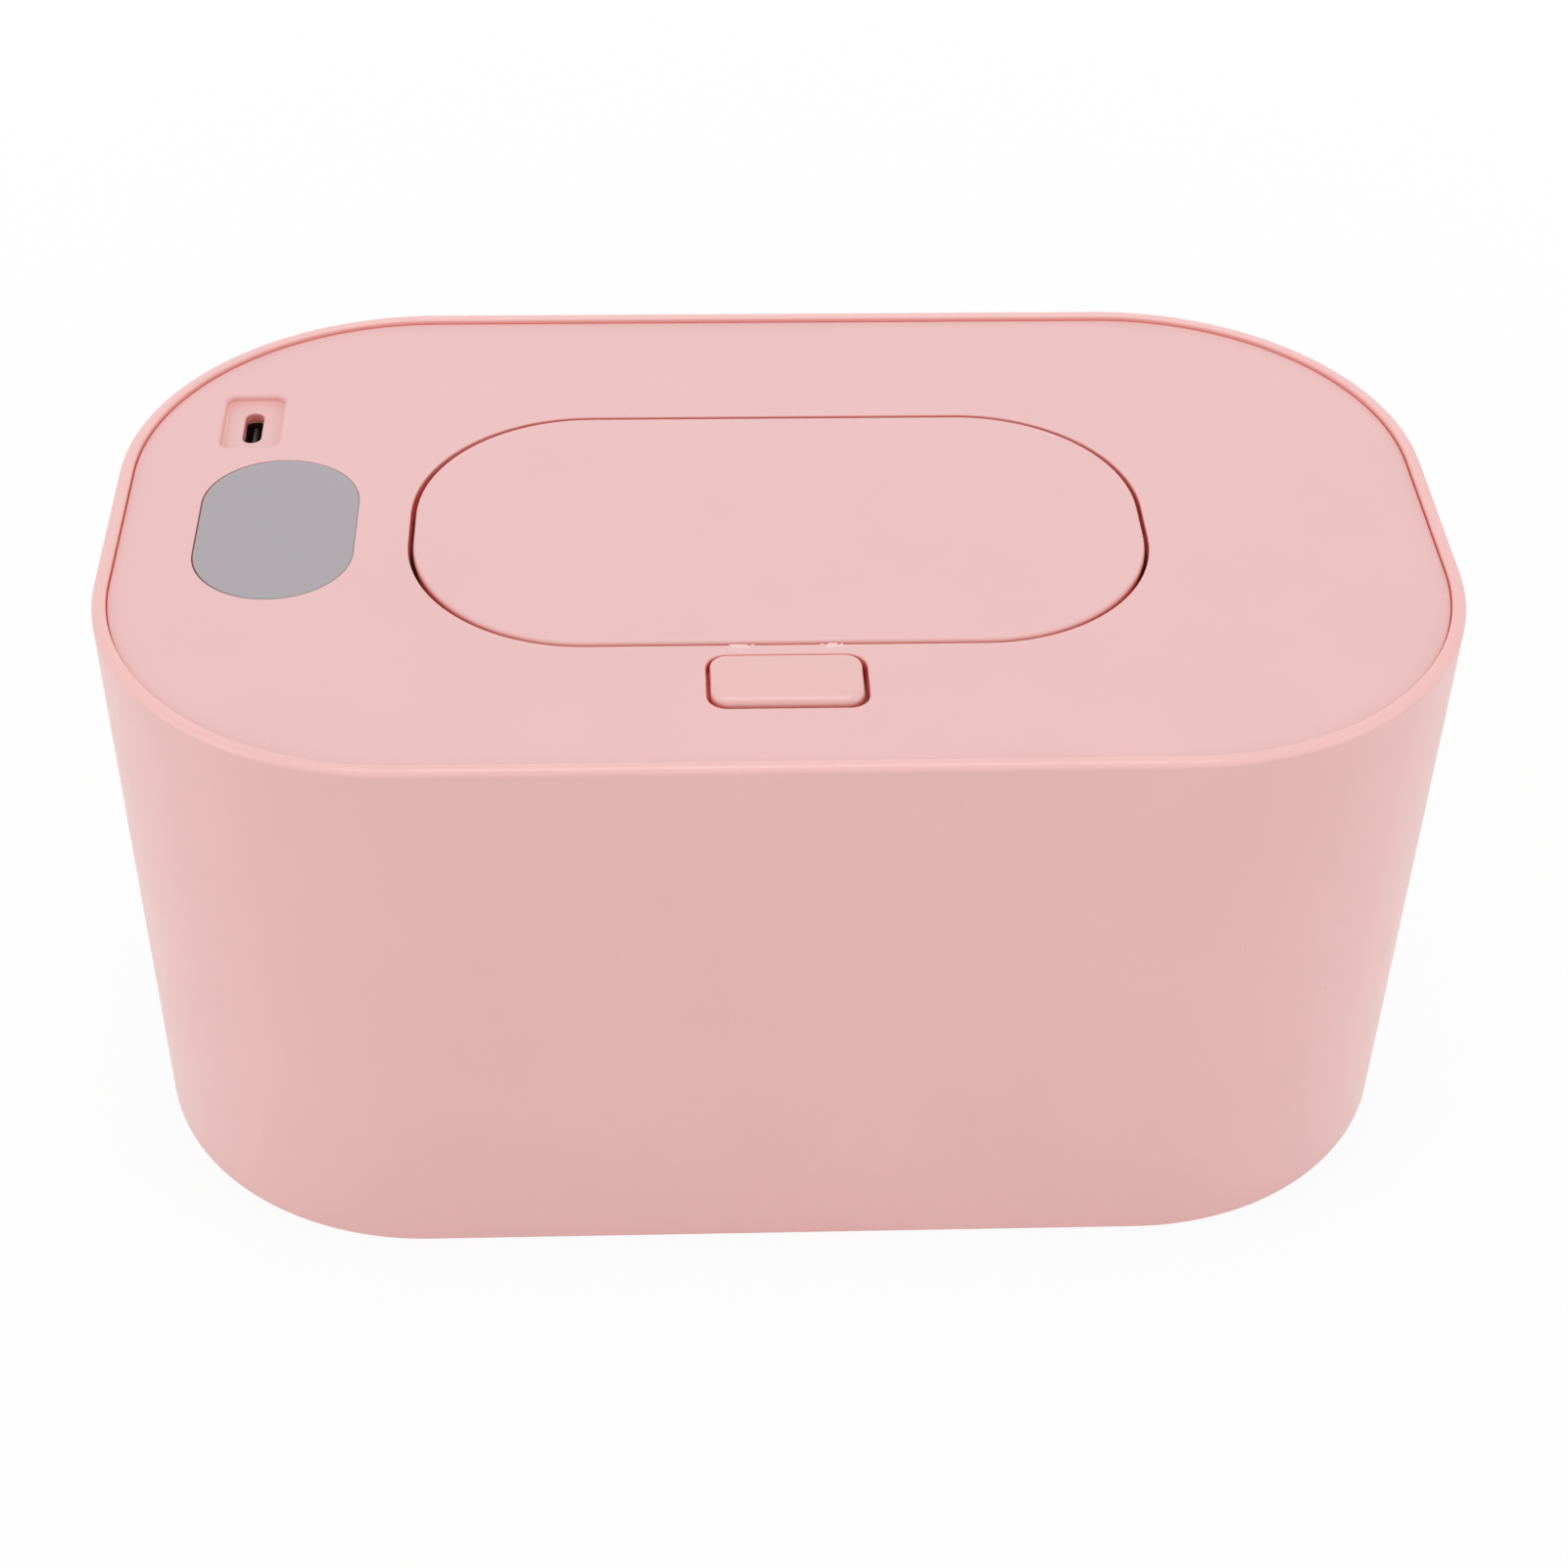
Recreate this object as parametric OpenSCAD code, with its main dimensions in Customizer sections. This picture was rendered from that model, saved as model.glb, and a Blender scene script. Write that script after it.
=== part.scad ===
// Baby wipe warmer: a tub with a lift-out heated cover, a sprung flip lid and a release button.
// The origin is at the centre of the footprint, on the surface that the feet stand on.
// The front, with the release button, faces -Y, and the display is on the -X side.

/* [Tub] */
// Width of the tub across its rim
body_w = 200; // [196:1:220]
// Depth of the tub across its rim
body_d = 121.4; // [120:0.2:140]
// Height of the tub from its bottom edge to its rim
tub_h = 93; // [80:1:120]
// Corner radius of the rim, seen from above
corner_r = 45.8; // [40:0.2:50]
// How far each wall leans in from the rim to the bottom
draft = 2.2; // [1:0.1:3]
// Thickness of the tub wall
tub_wall = 1.9; // [1.6:0.1:2.4]
// Thickness of the tub floor
tub_floor = 2.4; // [1.8:0.1:4]
// Round of the inside edge of the floor
floor_round = 2; // [1:0.5:4]
// Round of the bottom edge
bottom_round = 0.4; // [0.3:0.1:1.5]
// Width of each rib that carries the cover
rib_w = 3; // [2:0.5:5]
// How far the ribs stand in from the wall at their tops
rib_reach = 2.4; // [2:0.1:3]

/* [Feet] */
// Radius of a rubber foot
foot_r = 5; // [4:0.5:8]
// Thickness of a rubber foot
foot_t = 1.6; // [1.4:0.1:2.2]
// How far a foot stands below the tub
foot_proud = 1; // [0.6:0.1:1.2]
// Distance of a foot's centre from the ends of the footprint
foot_inset_x = 30; // [26:1:40]
// Distance of a foot's centre from the long sides of the footprint
foot_inset_y = 30; // [26:1:36]

/* [Cover] */
// Step down from the rim to the top plate
rim_step = 0.8; // [0:0.1:1.5]
// Thickness of the top plate
plate_t = 2.2; // [2:0.1:3]
// Gap between the top plate and the rim
cover_gap = 0.3; // [0.2:0.1:0.5]
// Step in from the edge of the top plate to the skirt under it
skirt_step = 0.8; // [0.6:0.1:1.2]
// Thickness of the skirt
skirt_wall = 1.8; // [1.6:0.1:2.4]
// Thickness of the well walls and floor
well_wall = 1.6; // [1.2:0.1:2]
// Thickness of the lower cover
shell_t = 1.8; // [1.4:0.1:2.4]
// Outside radius of a screw boss
boss_r = 3; // [2.6:0.1:3.6]
// Shank radius of the case screws
screw_r = 1.1; // [0.9:0.1:1.4]

/* [Lid] */
// Width of the flip lid
lid_w = 109; // [100:0.5:112]
// Depth of the flip lid
lid_d = 59.7; // [57:0.1:64]
// Corner radius of the flip lid
lid_r = 26; // [22:0.5:29]
// Thickness of the flip lid
lid_t = 1.8; // [1.6:0.1:1.8]
// Gap round the flip lid
lid_gap = 0.5; // [0.45:0.05:0.6]
// How far the lid's edge leans in from top to bottom
lid_lean = 0.25; // [0.2:0.05:0.3]
// Distance from the front of the tub to the flip lid
lid_front = 30.2; // [29:0.1:33]
// Width of the outlet that the wipes come through
outlet_w = 80; // [70:1:82]
// Depth of the outlet that the wipes come through
outlet_d = 30; // [24:1:31]
// Wall of the collar round the outlet
collar_wall = 2; // [1.6:0.1:2.4]
// Depth of the soft seal under the lid, which closes on the collar
seal_t = 3; // [2:0.1:3.4]

/* [Hinge] */
// Depth of the pin's axis under the top face
pin_drop = 4; // [4:0.1:4.4]
// Distance of the pin's axis behind the lid's back edge
pin_back = 7; // [7:0.1:7.6]
// Radius of the steel hinge pin
pin_r = 1; // [0.8:0.05:1]
// Radial running clearance of the pin
pin_play = 0.05; // [0.02:0.01:0.08]
// Wall of the lid's barrels round the pin
barrel_wall = 1.15; // [1:0.05:1.15]
// Thickness of the plate's lip over the barrels
lip_t = 1.5; // [1.3:0.1:1.5]
// Thickness of the curved lid arms
arm_t = 2.6; // [2.2:0.1:3]
// Width of the curved lid arms
arm_w = 5; // [4:0.5:6]
// Distance of each arm's centre from the middle
arm_x = 19; // [18:0.5:22]
// Thickness of an ear that holds the pin
ear_t = 2.5; // [2:0.1:3]
// Wire diameter of the lid springs
lid_wire = 0.6; // [0.5:0.05:0.6]
// Turns of each lid spring
lid_turns = 4; // [3:1:4]

/* [Release] */
// Width of the button
button_w = 21.8; // [20:0.2:24]
// Depth of the button from front to back
button_d = 12.1; // [11.6:0.1:13]
// Corner radius of the button
button_r = 2.6; // [1.5:0.1:3.5]
// Gap round the button
button_gap = 0.4; // [0.3:0.05:0.6]
// How far the button stands above the top plate
button_proud = 0.2; // [0:0.1:0.4]
// Travel of the button, which draws the latch back as far
press = 2; // [1.6:0.1:2]
// Thickness of the strip between the lid and the button
strip = 2.1; // [1.9:0.1:2.6]
// Width of the latch tongue
tongue_w = 10.6; // [10:0.2:11]
// Height of the latch tongue
tongue_t = 3; // [2.6:0.1:3]
// How far the latch nose holds under the lid's catch
grip = 1.5; // [1.2:0.1:1.5]

/* [Electronics] */
// Width of the display window
display_w = 23.6; // [22:0.2:24]
// Length of the display window
display_d = 36.8; // [34:0.2:37]
// How far the display lies towards the lid from the middle of its space
display_shift = 1; // [0:0.1:3]
// Distance from the charging recess to the display
display_gap = 4.15; // [3:0.05:6]
// Thickness of the display window
lens_t = 1.5; // [1.2:0.1:1.6]
// Distance from the end of the tub to the middle of the charging recess
port_side = 18.8; // [18:0.1:22]
// Distance from the back of the tub to the middle of the charging recess
port_back = 31.1; // [30:0.1:34]
// Width of the charging recess
recess_w = 9; // [8.6:0.1:9.6]
// Length of the charging recess
recess_d = 15; // [14:0.1:16]
// Depth of the charging recess
recess_h = 1.5; // [1.2:0.1:1.8]
// Thickness of the circuit board
board_t = 1.2; // [1:0.1:1.6]
// Height of the charging socket
socket_h = 6.5; // [6.2:0.1:7]

/* [Heater] */
// Width of the heating plate
heater_w = 150; // [140:1:152]
// Depth of the heating plate
heater_d = 86; // [80:1:86]
// Corner radius of the heating plate
heater_r = 30; // [26:1:36]
// Thickness of the heating plate
heater_t = 1.2; // [0.8:0.1:2]
// Thickness of the heating film
film_t = 0.3; // [0.2:0.05:0.5]
// Thickness of the insulation pad
pad_t = 1.2; // [0.8:0.1:2]

/* [Hidden] */

pink = [0.93, 0.76, 0.75];
pale_pink = [0.95, 0.82, 0.81];
grey = [0.69, 0.67, 0.67];
steel = [0.76, 0.77, 0.78];
dark = [0.12, 0.12, 0.13];

// Facets, how far a cut runs past a face, and how far joined solids run into each other
big_fn = 96;
round_fn = 32;
large_r = 8;
wire_fn = 6;
turn_rings = 8;
over = 1;
bite = 0.1;
sliver = 0.01;

// Screws: the case screws stand in sunk holes, and the small ones hold the inner pieces
head_r = 2;
head_h = 1.5;
head_gap = 0.3;
head_sink = 2.2;
screw_len = 10.8;
small_r = 0.9;
small_head_r = 1.9;
small_head_h = 1.2;
small_len = 6;
screw_gap = 0.3;
lower_boss_h = 4;
screw_inset = 7.2;
screw_angle = 66;
front_screw_x = 38;
front_screw_inset = 6.5;

// Heights and outlines of the cover
rim_z = foot_proud + tub_h;
plate_z = rim_z - rim_step;
under_z = plate_z - plate_t;
plate_w = body_w - 2 * tub_wall - 2 * cover_gap;
plate_d = body_d - 2 * tub_wall - 2 * cover_gap;
plate_r = corner_r - tub_wall - cover_gap;
skirt_w = plate_w - 2 * skirt_step;
skirt_d = plate_d - 2 * skirt_step;
skirt_r = plate_r - skirt_step;
room_w = skirt_w - 2 * skirt_wall;
room_d = skirt_d - 2 * skirt_wall;
room_r = skirt_r - skirt_wall;
corner_x = room_w / 2 - room_r;
corner_y = room_d / 2 - room_r;

// Ribs of the tub, from the ends of its straight sides, and their run into the wall
rib_from_end = 12;
rib_from_side = 6;
rib_root = 10;

// Lid and its well
lid_y = lid_front + (lid_d - body_d) / 2;
open_w = lid_w + 2 * lid_gap;
open_d = lid_d + 2 * lid_gap;
open_r = lid_r + lid_gap;
well_front = lid_y - open_d / 2;
lid_low = plate_z - lid_t;
lid_round = 0.4;

// Hinge: the arms pass under the lip, and the pocket is as deep as their sweep
lip_gap = 0.35;
sweep_gap = 0.5;
leg_back = 1.8;
leg_front = 1.2;
pin_y = lid_y + lid_d / 2 + pin_back;
pin_z = plate_z - pin_drop;
pin_hole = pin_r + pin_play;
barrel_r = pin_hole + barrel_wall;
lip_reach = pin_back - lid_gap;
arm_in = sqrt(lip_reach * lip_reach + pin_drop * pin_drop) + lip_gap;
arm_out = arm_in + arm_t;
sweep_r = sqrt(arm_out * arm_out + leg_back * leg_back);
well_z = pin_z - sweep_r - sweep_gap;
well_low = well_z - well_wall;
pocket_room = 4.3;
pocket_back = pin_y + pocket_room;
ear_r = 2.6;
ear_gap = 0.5;
turn_gap = 0.45;
spring_end = 0.6;
wire_gap = 0.35;
seat_leg = 1.6;
leg_falls = [0.15, 1, 2.6, 3.4, 3.6, 3.7];
leg_steps = [0.4, 1.2];
outer_ear_x = arm_x + arm_w / 2 + ear_gap + ear_t / 2;
spring_room = (lid_turns + 1) * (lid_wire + turn_gap) + spring_end;
inner_ear_x = arm_x - arm_w / 2 - spring_room - ear_t / 2;
pin_len = 2 * outer_ear_x + ear_t + 1;
pocket_w = pin_len + 1;

// Tabs of the well tray, outside the corners of its wall
tab_t = 2;
tab_drop = 5;
tab_top = under_z - tab_drop;
tab_reach = open_r + well_wall + boss_r + 1;

// Layers under the well, down to the heating plate
skirt_drop = 1.2;
shell_drop = 1.7;
seat_gap = 0.3;
skirt_low = well_low - skirt_drop;
shell_top = skirt_low - shell_drop;
shell_low = shell_top - shell_t;
pad_low = shell_low - pad_t;
film_low = pad_low - film_t;
heater_low = film_low - heater_t;
shell_fit = 0.4;
spigot_wall = 1.4;
spigot_h = 5.7;
frame_gap = 0.2;
frame_wall = 1.6;
frame_short = 0.4;
outlet_edge = 1;
collar_w = outlet_w + 2 * collar_wall;
collar_d = outlet_d + 2 * collar_wall;
collar_top = lid_low - seal_t - seat_gap;

// Button with its flange and legs, and the latch that it pushes forward
button_back = well_front - strip;
button_y = button_back - button_gap - button_d / 2;
button_top = plate_z + button_proud;
crown_t = 2;
button_wall = 1.8;
flange_top = under_z - 0.05;
flange_t = 1.4;
flange_out = 1.4;
flange_inset = 0.6;
guide_gap = 0.3;
guide_t = 1.2;
guide_drop = 4;
leg_w = 2.6;
leg_len = 3;
leg_gap = 0.9;
leg_x = tongue_w / 2 + leg_gap + leg_w / 2;
leg_y = button_y + 2.8;
tongue_drop = 7;
wing_half = 2;
nose_lip = 0.9;
tongue_z = under_z - tongue_drop;
wing_low = tongue_z - wing_half;
wing_top = tongue_z + wing_half;
wing_side = 0.6;
wing_x = leg_x + leg_w / 2 + wing_side;
ramp_gap = 0.1;
catch_t = 2;
catch_gap = 0.8;
catch_side = 3;
catch_y = well_front + catch_gap;
catch_low = tongue_z - 2.2;
nose_y = catch_y + grip;
bracket_t = 2;
bracket_wall = 1.6;
bracket_gap = 0.4;
bracket_z = wing_low - 0.2;
leg_low = bracket_z + press + 0.2;
latch_room = 5;
latch_ahead = 5;
latch_front = button_y - latch_ahead;
spring_wall_y = latch_front - latch_room;
bracket_reach = 12.2;
bracket_screw_x = tongue_w / 2 + bracket_reach;
crown_spring_r = 2.1;
crown_wire = 0.5;
latch_spring_r = 1.3;
latch_wire = 0.4;
spring_slot = 2 * crown_spring_r + crown_wire + 1.1;

// Charging recess, with the socket under the slot in its floor
socket_w = 3.2;
socket_d = 8.9;
socket_wall = 0.3;
socket_base = 1.2;
slot_gap = 0.2;
recess_r = 1.6;
recess_wall = 1.6;
recess_floor = 1.4;
tongue_thick = 0.7;
tongue_long = 6.6;
socket_x = port_side - body_w / 2;
port_y = body_d / 2 - port_back;
mouth_w = socket_w - 2 * socket_wall;
mouth_d = socket_d - 2 * socket_wall;
recess_z = plate_z - recess_h;
socket_top = recess_z - recess_floor - 0.1;
board_z = socket_top - socket_h;
board_low = board_z - board_t;

// Display in the middle between the well and the skirt, and the board under it
lens_x = display_shift - (room_w / 2 + open_w / 2 + well_wall) / 2;
lens_y = port_y - recess_d / 2 - display_gap - display_d / 2;
lens_low = plate_z - lens_t;
lens_gap = 0.05;
lens_ledge = 2.5;
frame_w = display_w - 2 * lens_ledge;
frame_d = display_d - 2 * lens_ledge - 1;
light_wall = 1.4;
digit_w = 12.2;
digit_d = 16;
digit_back = 2.6;
board_end_gap = 5;
board_well_gap = 4;
board_behind = 9.5;
board_ahead = 7;
board_left = board_end_gap - room_w / 2;
board_right = -open_w / 2 - well_wall - board_well_gap;
board_back = port_y + board_behind;
board_front = lens_y - display_d / 2 - board_ahead;
board_corner = 10;
post_r = 2.4;
post_edge = 4;
post_corner = 7;

// Parts on the board
chip_w = 6;
chip_h = 1;
chip_back = 20;
power_w = 5.5;
power_d = 4;
power_h = 1.6;
power_back = 12;
part_edge = 2.5;
coil_w = 6;
coil_h = 3;
coil_front = 20;
can_r = 2;
can_h = 5.2;
can_front = 29;
left_edge = 6;
cap_w = 1;
cap_d = 1.8;
cap_h = 0.8;
cap_pitch = 2;
cap_count = 4;
cap_left = 10.5;
cap_front = 6;

// Sensor and fuse in their window over the heating film
sensor_inset = 4.1;
sensor_ahead = 18;
sensor_x = board_right - sensor_inset;
sensor_y = lens_y - sensor_ahead;
sensor_w = 12;
sensor_d = 9;
sensor_r = 2;
bead_r = 1.1;
bead_len = 5;
fuse_r = 1.2;
fuse_len = 8;
fuse_wire_r = 0.4;
fuse_wire = 0.8;
lead_r = 0.55;

// The screws stand clear of the heating plate, the well and the board
case_screws = concat([for (sx = [-1, 1]) for (sy = [-1, 1])
    [sx * (corner_x + (room_r - screw_inset) * cos(screw_angle)),
    sy * (corner_y + (room_r - screw_inset) * sin(screw_angle))]],
    [for (s = [-1, 1]) [s * front_screw_x, front_screw_inset - room_d / 2]]);
tray_screws = [for (sx = [-1, 1]) for (sy = [-1, 1])
    [sx * (open_w / 2 - open_r + tab_reach * cos(45)),
    lid_y + sy * (open_d / 2 - open_r + tab_reach * sin(45))]];
board_posts = [[board_left + post_corner, board_front + post_corner],
    [board_right - post_edge, board_front + post_edge], [board_right - post_edge, board_back - post_edge]];
bracket_posts = [for (s = [-1, 1]) [s * bracket_screw_x, button_y]];

// How far the tub's wall has leaned in at a height
function lean(z) = draft * (rim_z - z) / tub_h;

// Round-cornered outline
module outline(w, d, r) {
    corner = min(r, w / 2 - sliver, d / 2 - sliver);
    offset(r = corner, $fn = r > large_r ? big_fn : round_fn)
        square([w - 2 * corner, d - 2 * corner], center = true);
}

// Round-cornered block between two heights
module block(w, d, r, low, high) {
    translate([0, 0, low]) linear_extrude(high - low) outline(w, d, r);
}

// Ring of constant wall between two heights, measured on its outside
module ring(w, d, r, wall, low, high) {
    translate([0, 0, low]) linear_extrude(high - low) difference() {
        outline(w, d, r);
        outline(w - 2 * wall, d - 2 * wall, r - wall);
    }
}

// Plain upright cylinder
module post(x, y, r, low, high) {
    translate([x, y, low]) cylinder(r = r, h = high - low, $fn = round_fn);
}

// Profile drawn in Y and Z and run along X, centred at x
module across(x, t) {
    translate([x - t / 2, 0, 0]) rotate([90, 0, 90]) linear_extrude(t) children();
}

// Box from its lowest and highest corners
module span(low, high) {
    translate(low) cube(high - low);
}

// Screws driven upwards at a list of places, with their heads under a seat
module screws(places, r, wide, tall, seat, length) {
    for (p = places) {
        post(p[0], p[1], r, seat - bite, seat + length);
        post(p[0], p[1], wide, seat - tall, seat);
    }
}

// Unit vector, and the next frame vector carried along a path without twist
function unit(v) = v / norm(v);
function tangent(p, i) = unit(p[min(i + 1, len(p) - 1)] - p[max(i - 1, 0)]);
function carry(n, t) = unit(n - (n * t) * t);
function frames(p, start) = [for (i = 0, n = carry(start, tangent(p, 0)); i < len(p);
    n = carry(n, tangent(p, i + 1)), i = i + 1) n];

// Round tube along a path
module tube(p, r, sides, start) {
    count = len(p);
    side = frames(p, start);
    points = [for (i = [0 : count - 1]) for (k = [0 : sides - 1])
        let (up = cross(tangent(p, i), side[i]), a = 360 * k / sides)
        p[i] + r * cos(a) * side[i] + r * sin(a) * up];
    walls = [for (i = [0 : count - 2]) for (k = [0 : sides - 1])
        let (a = i * sides + k, b = i * sides + (k + 1) % sides)
        each [[a, a + sides, b], [b, a + sides, b + sides]]];
    ends = [[for (k = [0 : sides - 1]) k],
        [for (k = [sides - 1 : -1 : 0]) (count - 1) * sides + k]];
    polyhedron(points, concat(walls, ends), convexity = 10);
}

// Coil along +Z from the origin
function coil(r, turns, pitch, from) = [for (i = [0 : turns * turn_rings])
    let (a = from + 360 * i / turn_rings)
    [r * cos(a), r * sin(a), pitch * i / turn_rings]];

// Least gap of a wound wire to itself
function self_gap(p, wire) = min([for (i = [0 : len(p) - 1])
    for (j = [i + turn_rings - 1 : 1 : len(p) - 1]) norm(p[i] - p[j])]) - wire;

// Compression spring with closed-in flat ends, along +Z
module compression_spring(r, wire, turns, height) {
    pitch = (height - wire) / turns;
    path = [for (q = coil(r, turns, pitch, 0)) q + [0, 0, wire / 2]];
    echo("least gap of a spring to itself, in mm", self_gap(path, wire));
    tube(path, wire / 2, wire_fn, [0, 0, 1]);
}

// Outside of the tub, leaning in towards a rounded bottom edge
module tub_form() {
    hull() {
        block(body_w, body_d, corner_r, rim_z - sliver, rim_z);
        tub_slice(foot_proud + bottom_round, 0);
        tub_slice(foot_proud + bottom_round * 0.3, bottom_round * 0.3);
        tub_slice(foot_proud, bottom_round);
    }
}

// Thin slice of the tub's outline
module tub_slice(z, inset) {
    cut = lean(z) + inset;
    block(body_w - 2 * cut, body_d - 2 * cut, corner_r - cut, z, z + sliver);
}

// Thin slice of the tub's hollow, its outline drawn in by the wall and an inset
module hollow_slice(z, inset) {
    cut = tub_wall + lean(z) + inset;
    block(body_w - 2 * cut, body_d - 2 * cut, corner_r - cut, z, z + sliver);
}

// Hollow of the tub, with a rounded edge round its floor
module tub_hollow() {
    floor_z = foot_proud + tub_floor;
    hull() {
        hollow_slice(rim_z + over, 0);
        hollow_slice(floor_z + floor_round, 0);
        hollow_slice(floor_z + floor_round * 0.3, floor_round * 0.3);
        hollow_slice(floor_z, floor_round);
    }
}

// Upright ribs on the inside of the tub, which carry the cover's skirt
module tub_ribs() {
    long_y = body_d / 2 - tub_wall - lean(skirt_low) - rib_reach;
    end_x = body_w / 2 - tub_wall - lean(skirt_low) - rib_reach;
    long_x = body_w / 2 - corner_r - rib_from_end;
    end_y = body_d / 2 - corner_r - rib_from_side;
    for (sx = [-1, 1]) for (sy = [-1, 1]) {
        rib_low = sx * long_x - rib_w / 2;
        side_y = sy > 0 ? long_y : -long_y - rib_root;
        span([rib_low, side_y, 0], [rib_low + rib_w, side_y + rib_root, skirt_low]);
        side_x = sx > 0 ? end_x : -end_x - rib_root;
        end_low = sy * end_y - rib_w / 2;
        span([side_x, end_low, 0], [side_x + rib_root, end_low + rib_w, skirt_low]);
    }
}

function foot_places() = [for (sx = [-1, 1]) for (sy = [-1, 1])
    [sx * (body_w / 2 - foot_inset_x), sy * (body_d / 2 - foot_inset_y)]];

module tub() {
    color(pink) difference() {
        tub_form();
        difference() {
            tub_hollow();
            tub_ribs();
        }
        for (p = foot_places()) post(p[0], p[1], foot_r + 0.1, -over, foot_t);
    }
}

module rubber_feet() {
    color(grey) for (p = foot_places()) post(p[0], p[1], foot_r, 0, foot_t);
}

// Pocket behind the lid where its curved arms swing
module hinge_pocket(wall, low, high) {
    half = pocket_w / 2 + wall;
    span([-half, lid_y, low], [half, pocket_back + wall, high]);
}

// Ear that hangs from the lip and holds the pin
module pin_ear(x) {
    across(x, ear_t) translate([pin_y, pin_z]) difference() {
        union() {
            circle(r = ear_r, $fn = round_fn);
            translate([-ear_r, 0]) square([2 * ear_r, pin_drop - lip_t + bite]);
        }
        circle(r = pin_hole, $fn = round_fn);
    }
}

// Side rails under the plate that guide the button's flange
module button_guide() {
    inner = button_w / 2 + flange_out + guide_gap;
    for (s = [-1, 1]) {
        x = s > 0 ? inner : -inner - guide_t;
        span([x, button_y - button_d / 2, under_z - guide_drop],
            [x + guide_t, button_y + button_d / 2, under_z + bite]);
    }
}

// Everything of the top cover that is cut by its openings
module cover_solids() {
    block(plate_w, plate_d, plate_r, under_z, plate_z);
    ring(skirt_w, skirt_d, skirt_r, skirt_wall, skirt_low, under_z + bite);
    translate([socket_x, port_y, 0])
        block(recess_w + 2 * recess_wall, recess_d + 2 * recess_wall, recess_r + recess_wall,
            recess_z - recess_floor, under_z + bite);
    for (p = case_screws) post(p[0], p[1], boss_r, shell_top + lower_boss_h, under_z + bite);
    for (p = tray_screws) post(p[0], p[1], boss_r, tab_top, under_z + bite);
    for (p = board_posts) post(p[0], p[1], post_r, board_z, under_z + bite);
    for (p = bracket_posts) post(p[0], p[1], boss_r, bracket_z, under_z + bite);
    button_guide();
}

// Openings of the top cover, and the bores of its bosses
module cover_cuts() {
    translate([0, lid_y, 0]) block(open_w, open_d, open_r, under_z - over, plate_z + over);
    hinge_pocket(0, under_z - over, plate_z - lip_t);
    translate([lens_x, lens_y, 0]) {
        block(display_w + 2 * lens_gap, display_d + 2 * lens_gap, display_w / 2, lens_low, plate_z + over);
        block(frame_w, frame_d, frame_w / 2, under_z - over, lens_low + over);
    }
    translate([socket_x, port_y, 0]) {
        block(recess_w, recess_d, recess_r, recess_z, plate_z + over);
        block(mouth_w + 2 * slot_gap, mouth_d + 2 * slot_gap, mouth_w, recess_z - recess_floor - over,
            recess_z + over);
    }
    translate([0, button_y, 0])
        block(button_w + 2 * button_gap, button_d + 2 * button_gap, button_r + button_gap, under_z - over,
            plate_z + over);
    for (p = case_screws) post(p[0], p[1], screw_r - 0.1, shell_top, under_z - over);
    for (p = tray_screws) post(p[0], p[1], small_r, tab_top - over, under_z);
    for (p = board_posts) post(p[0], p[1], small_r, board_z - over, under_z);
    for (p = bracket_posts) post(p[0], p[1], small_r, bracket_z - over, under_z);
}

module top_cover() {
    color(pink) {
        difference() {
            cover_solids();
            cover_cuts();
        }
        for (s = [-1, 1]) {
            pin_ear(s * inner_ear_x);
            pin_ear(s * outer_ear_x);
        }
    }
}

// Tab outside a corner of the well tray, screwed up to a boss of the plate
module tray_tab(sx, sy) {
    root = open_r + well_wall / 2;
    translate([sx * (open_w / 2 - open_r), lid_y + sy * (open_d / 2 - open_r), tab_top - tab_t])
        rotate([0, 0, atan2(sy, sx)]) linear_extrude(tab_t) difference() {
            union() {
                translate([tab_reach, 0]) circle(r = boss_r, $fn = round_fn);
                translate([root, -boss_r]) square([tab_reach - root, 2 * boss_r]);
            }
            translate([tab_reach, 0]) circle(r = small_r + screw_gap, $fn = round_fn);
        }
}

// Tray under the plate: the well with its hinge pocket, and the collar round the outlet
module well_tray() {
    color(pale_pink) {
        difference() {
            union() {
                translate([0, lid_y, 0])
                    block(open_w + 2 * well_wall, open_d + 2 * well_wall, open_r + well_wall, well_low,
                        under_z);
                hinge_pocket(well_wall, well_low, under_z);
            }
            translate([0, lid_y, 0]) {
                block(open_w, open_d, open_r, well_z, under_z + over);
                block(outlet_w, outlet_d, outlet_d / 2, well_low - over, well_z + over);
            }
            hinge_pocket(0, well_z, under_z + over);
            span([-tongue_w / 2 - screw_gap, well_front - well_wall - over, tongue_z - screw_gap],
                [tongue_w / 2 + screw_gap, well_front + over, tongue_z + tongue_t + screw_gap]);
        }
        translate([0, lid_y, 0])
            ring(collar_w, collar_d, collar_d / 2, collar_wall, well_z - bite, collar_top);
        for (sx = [-1, 1]) for (sy = [-1, 1]) tray_tab(sx, sy);
    }
}

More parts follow.
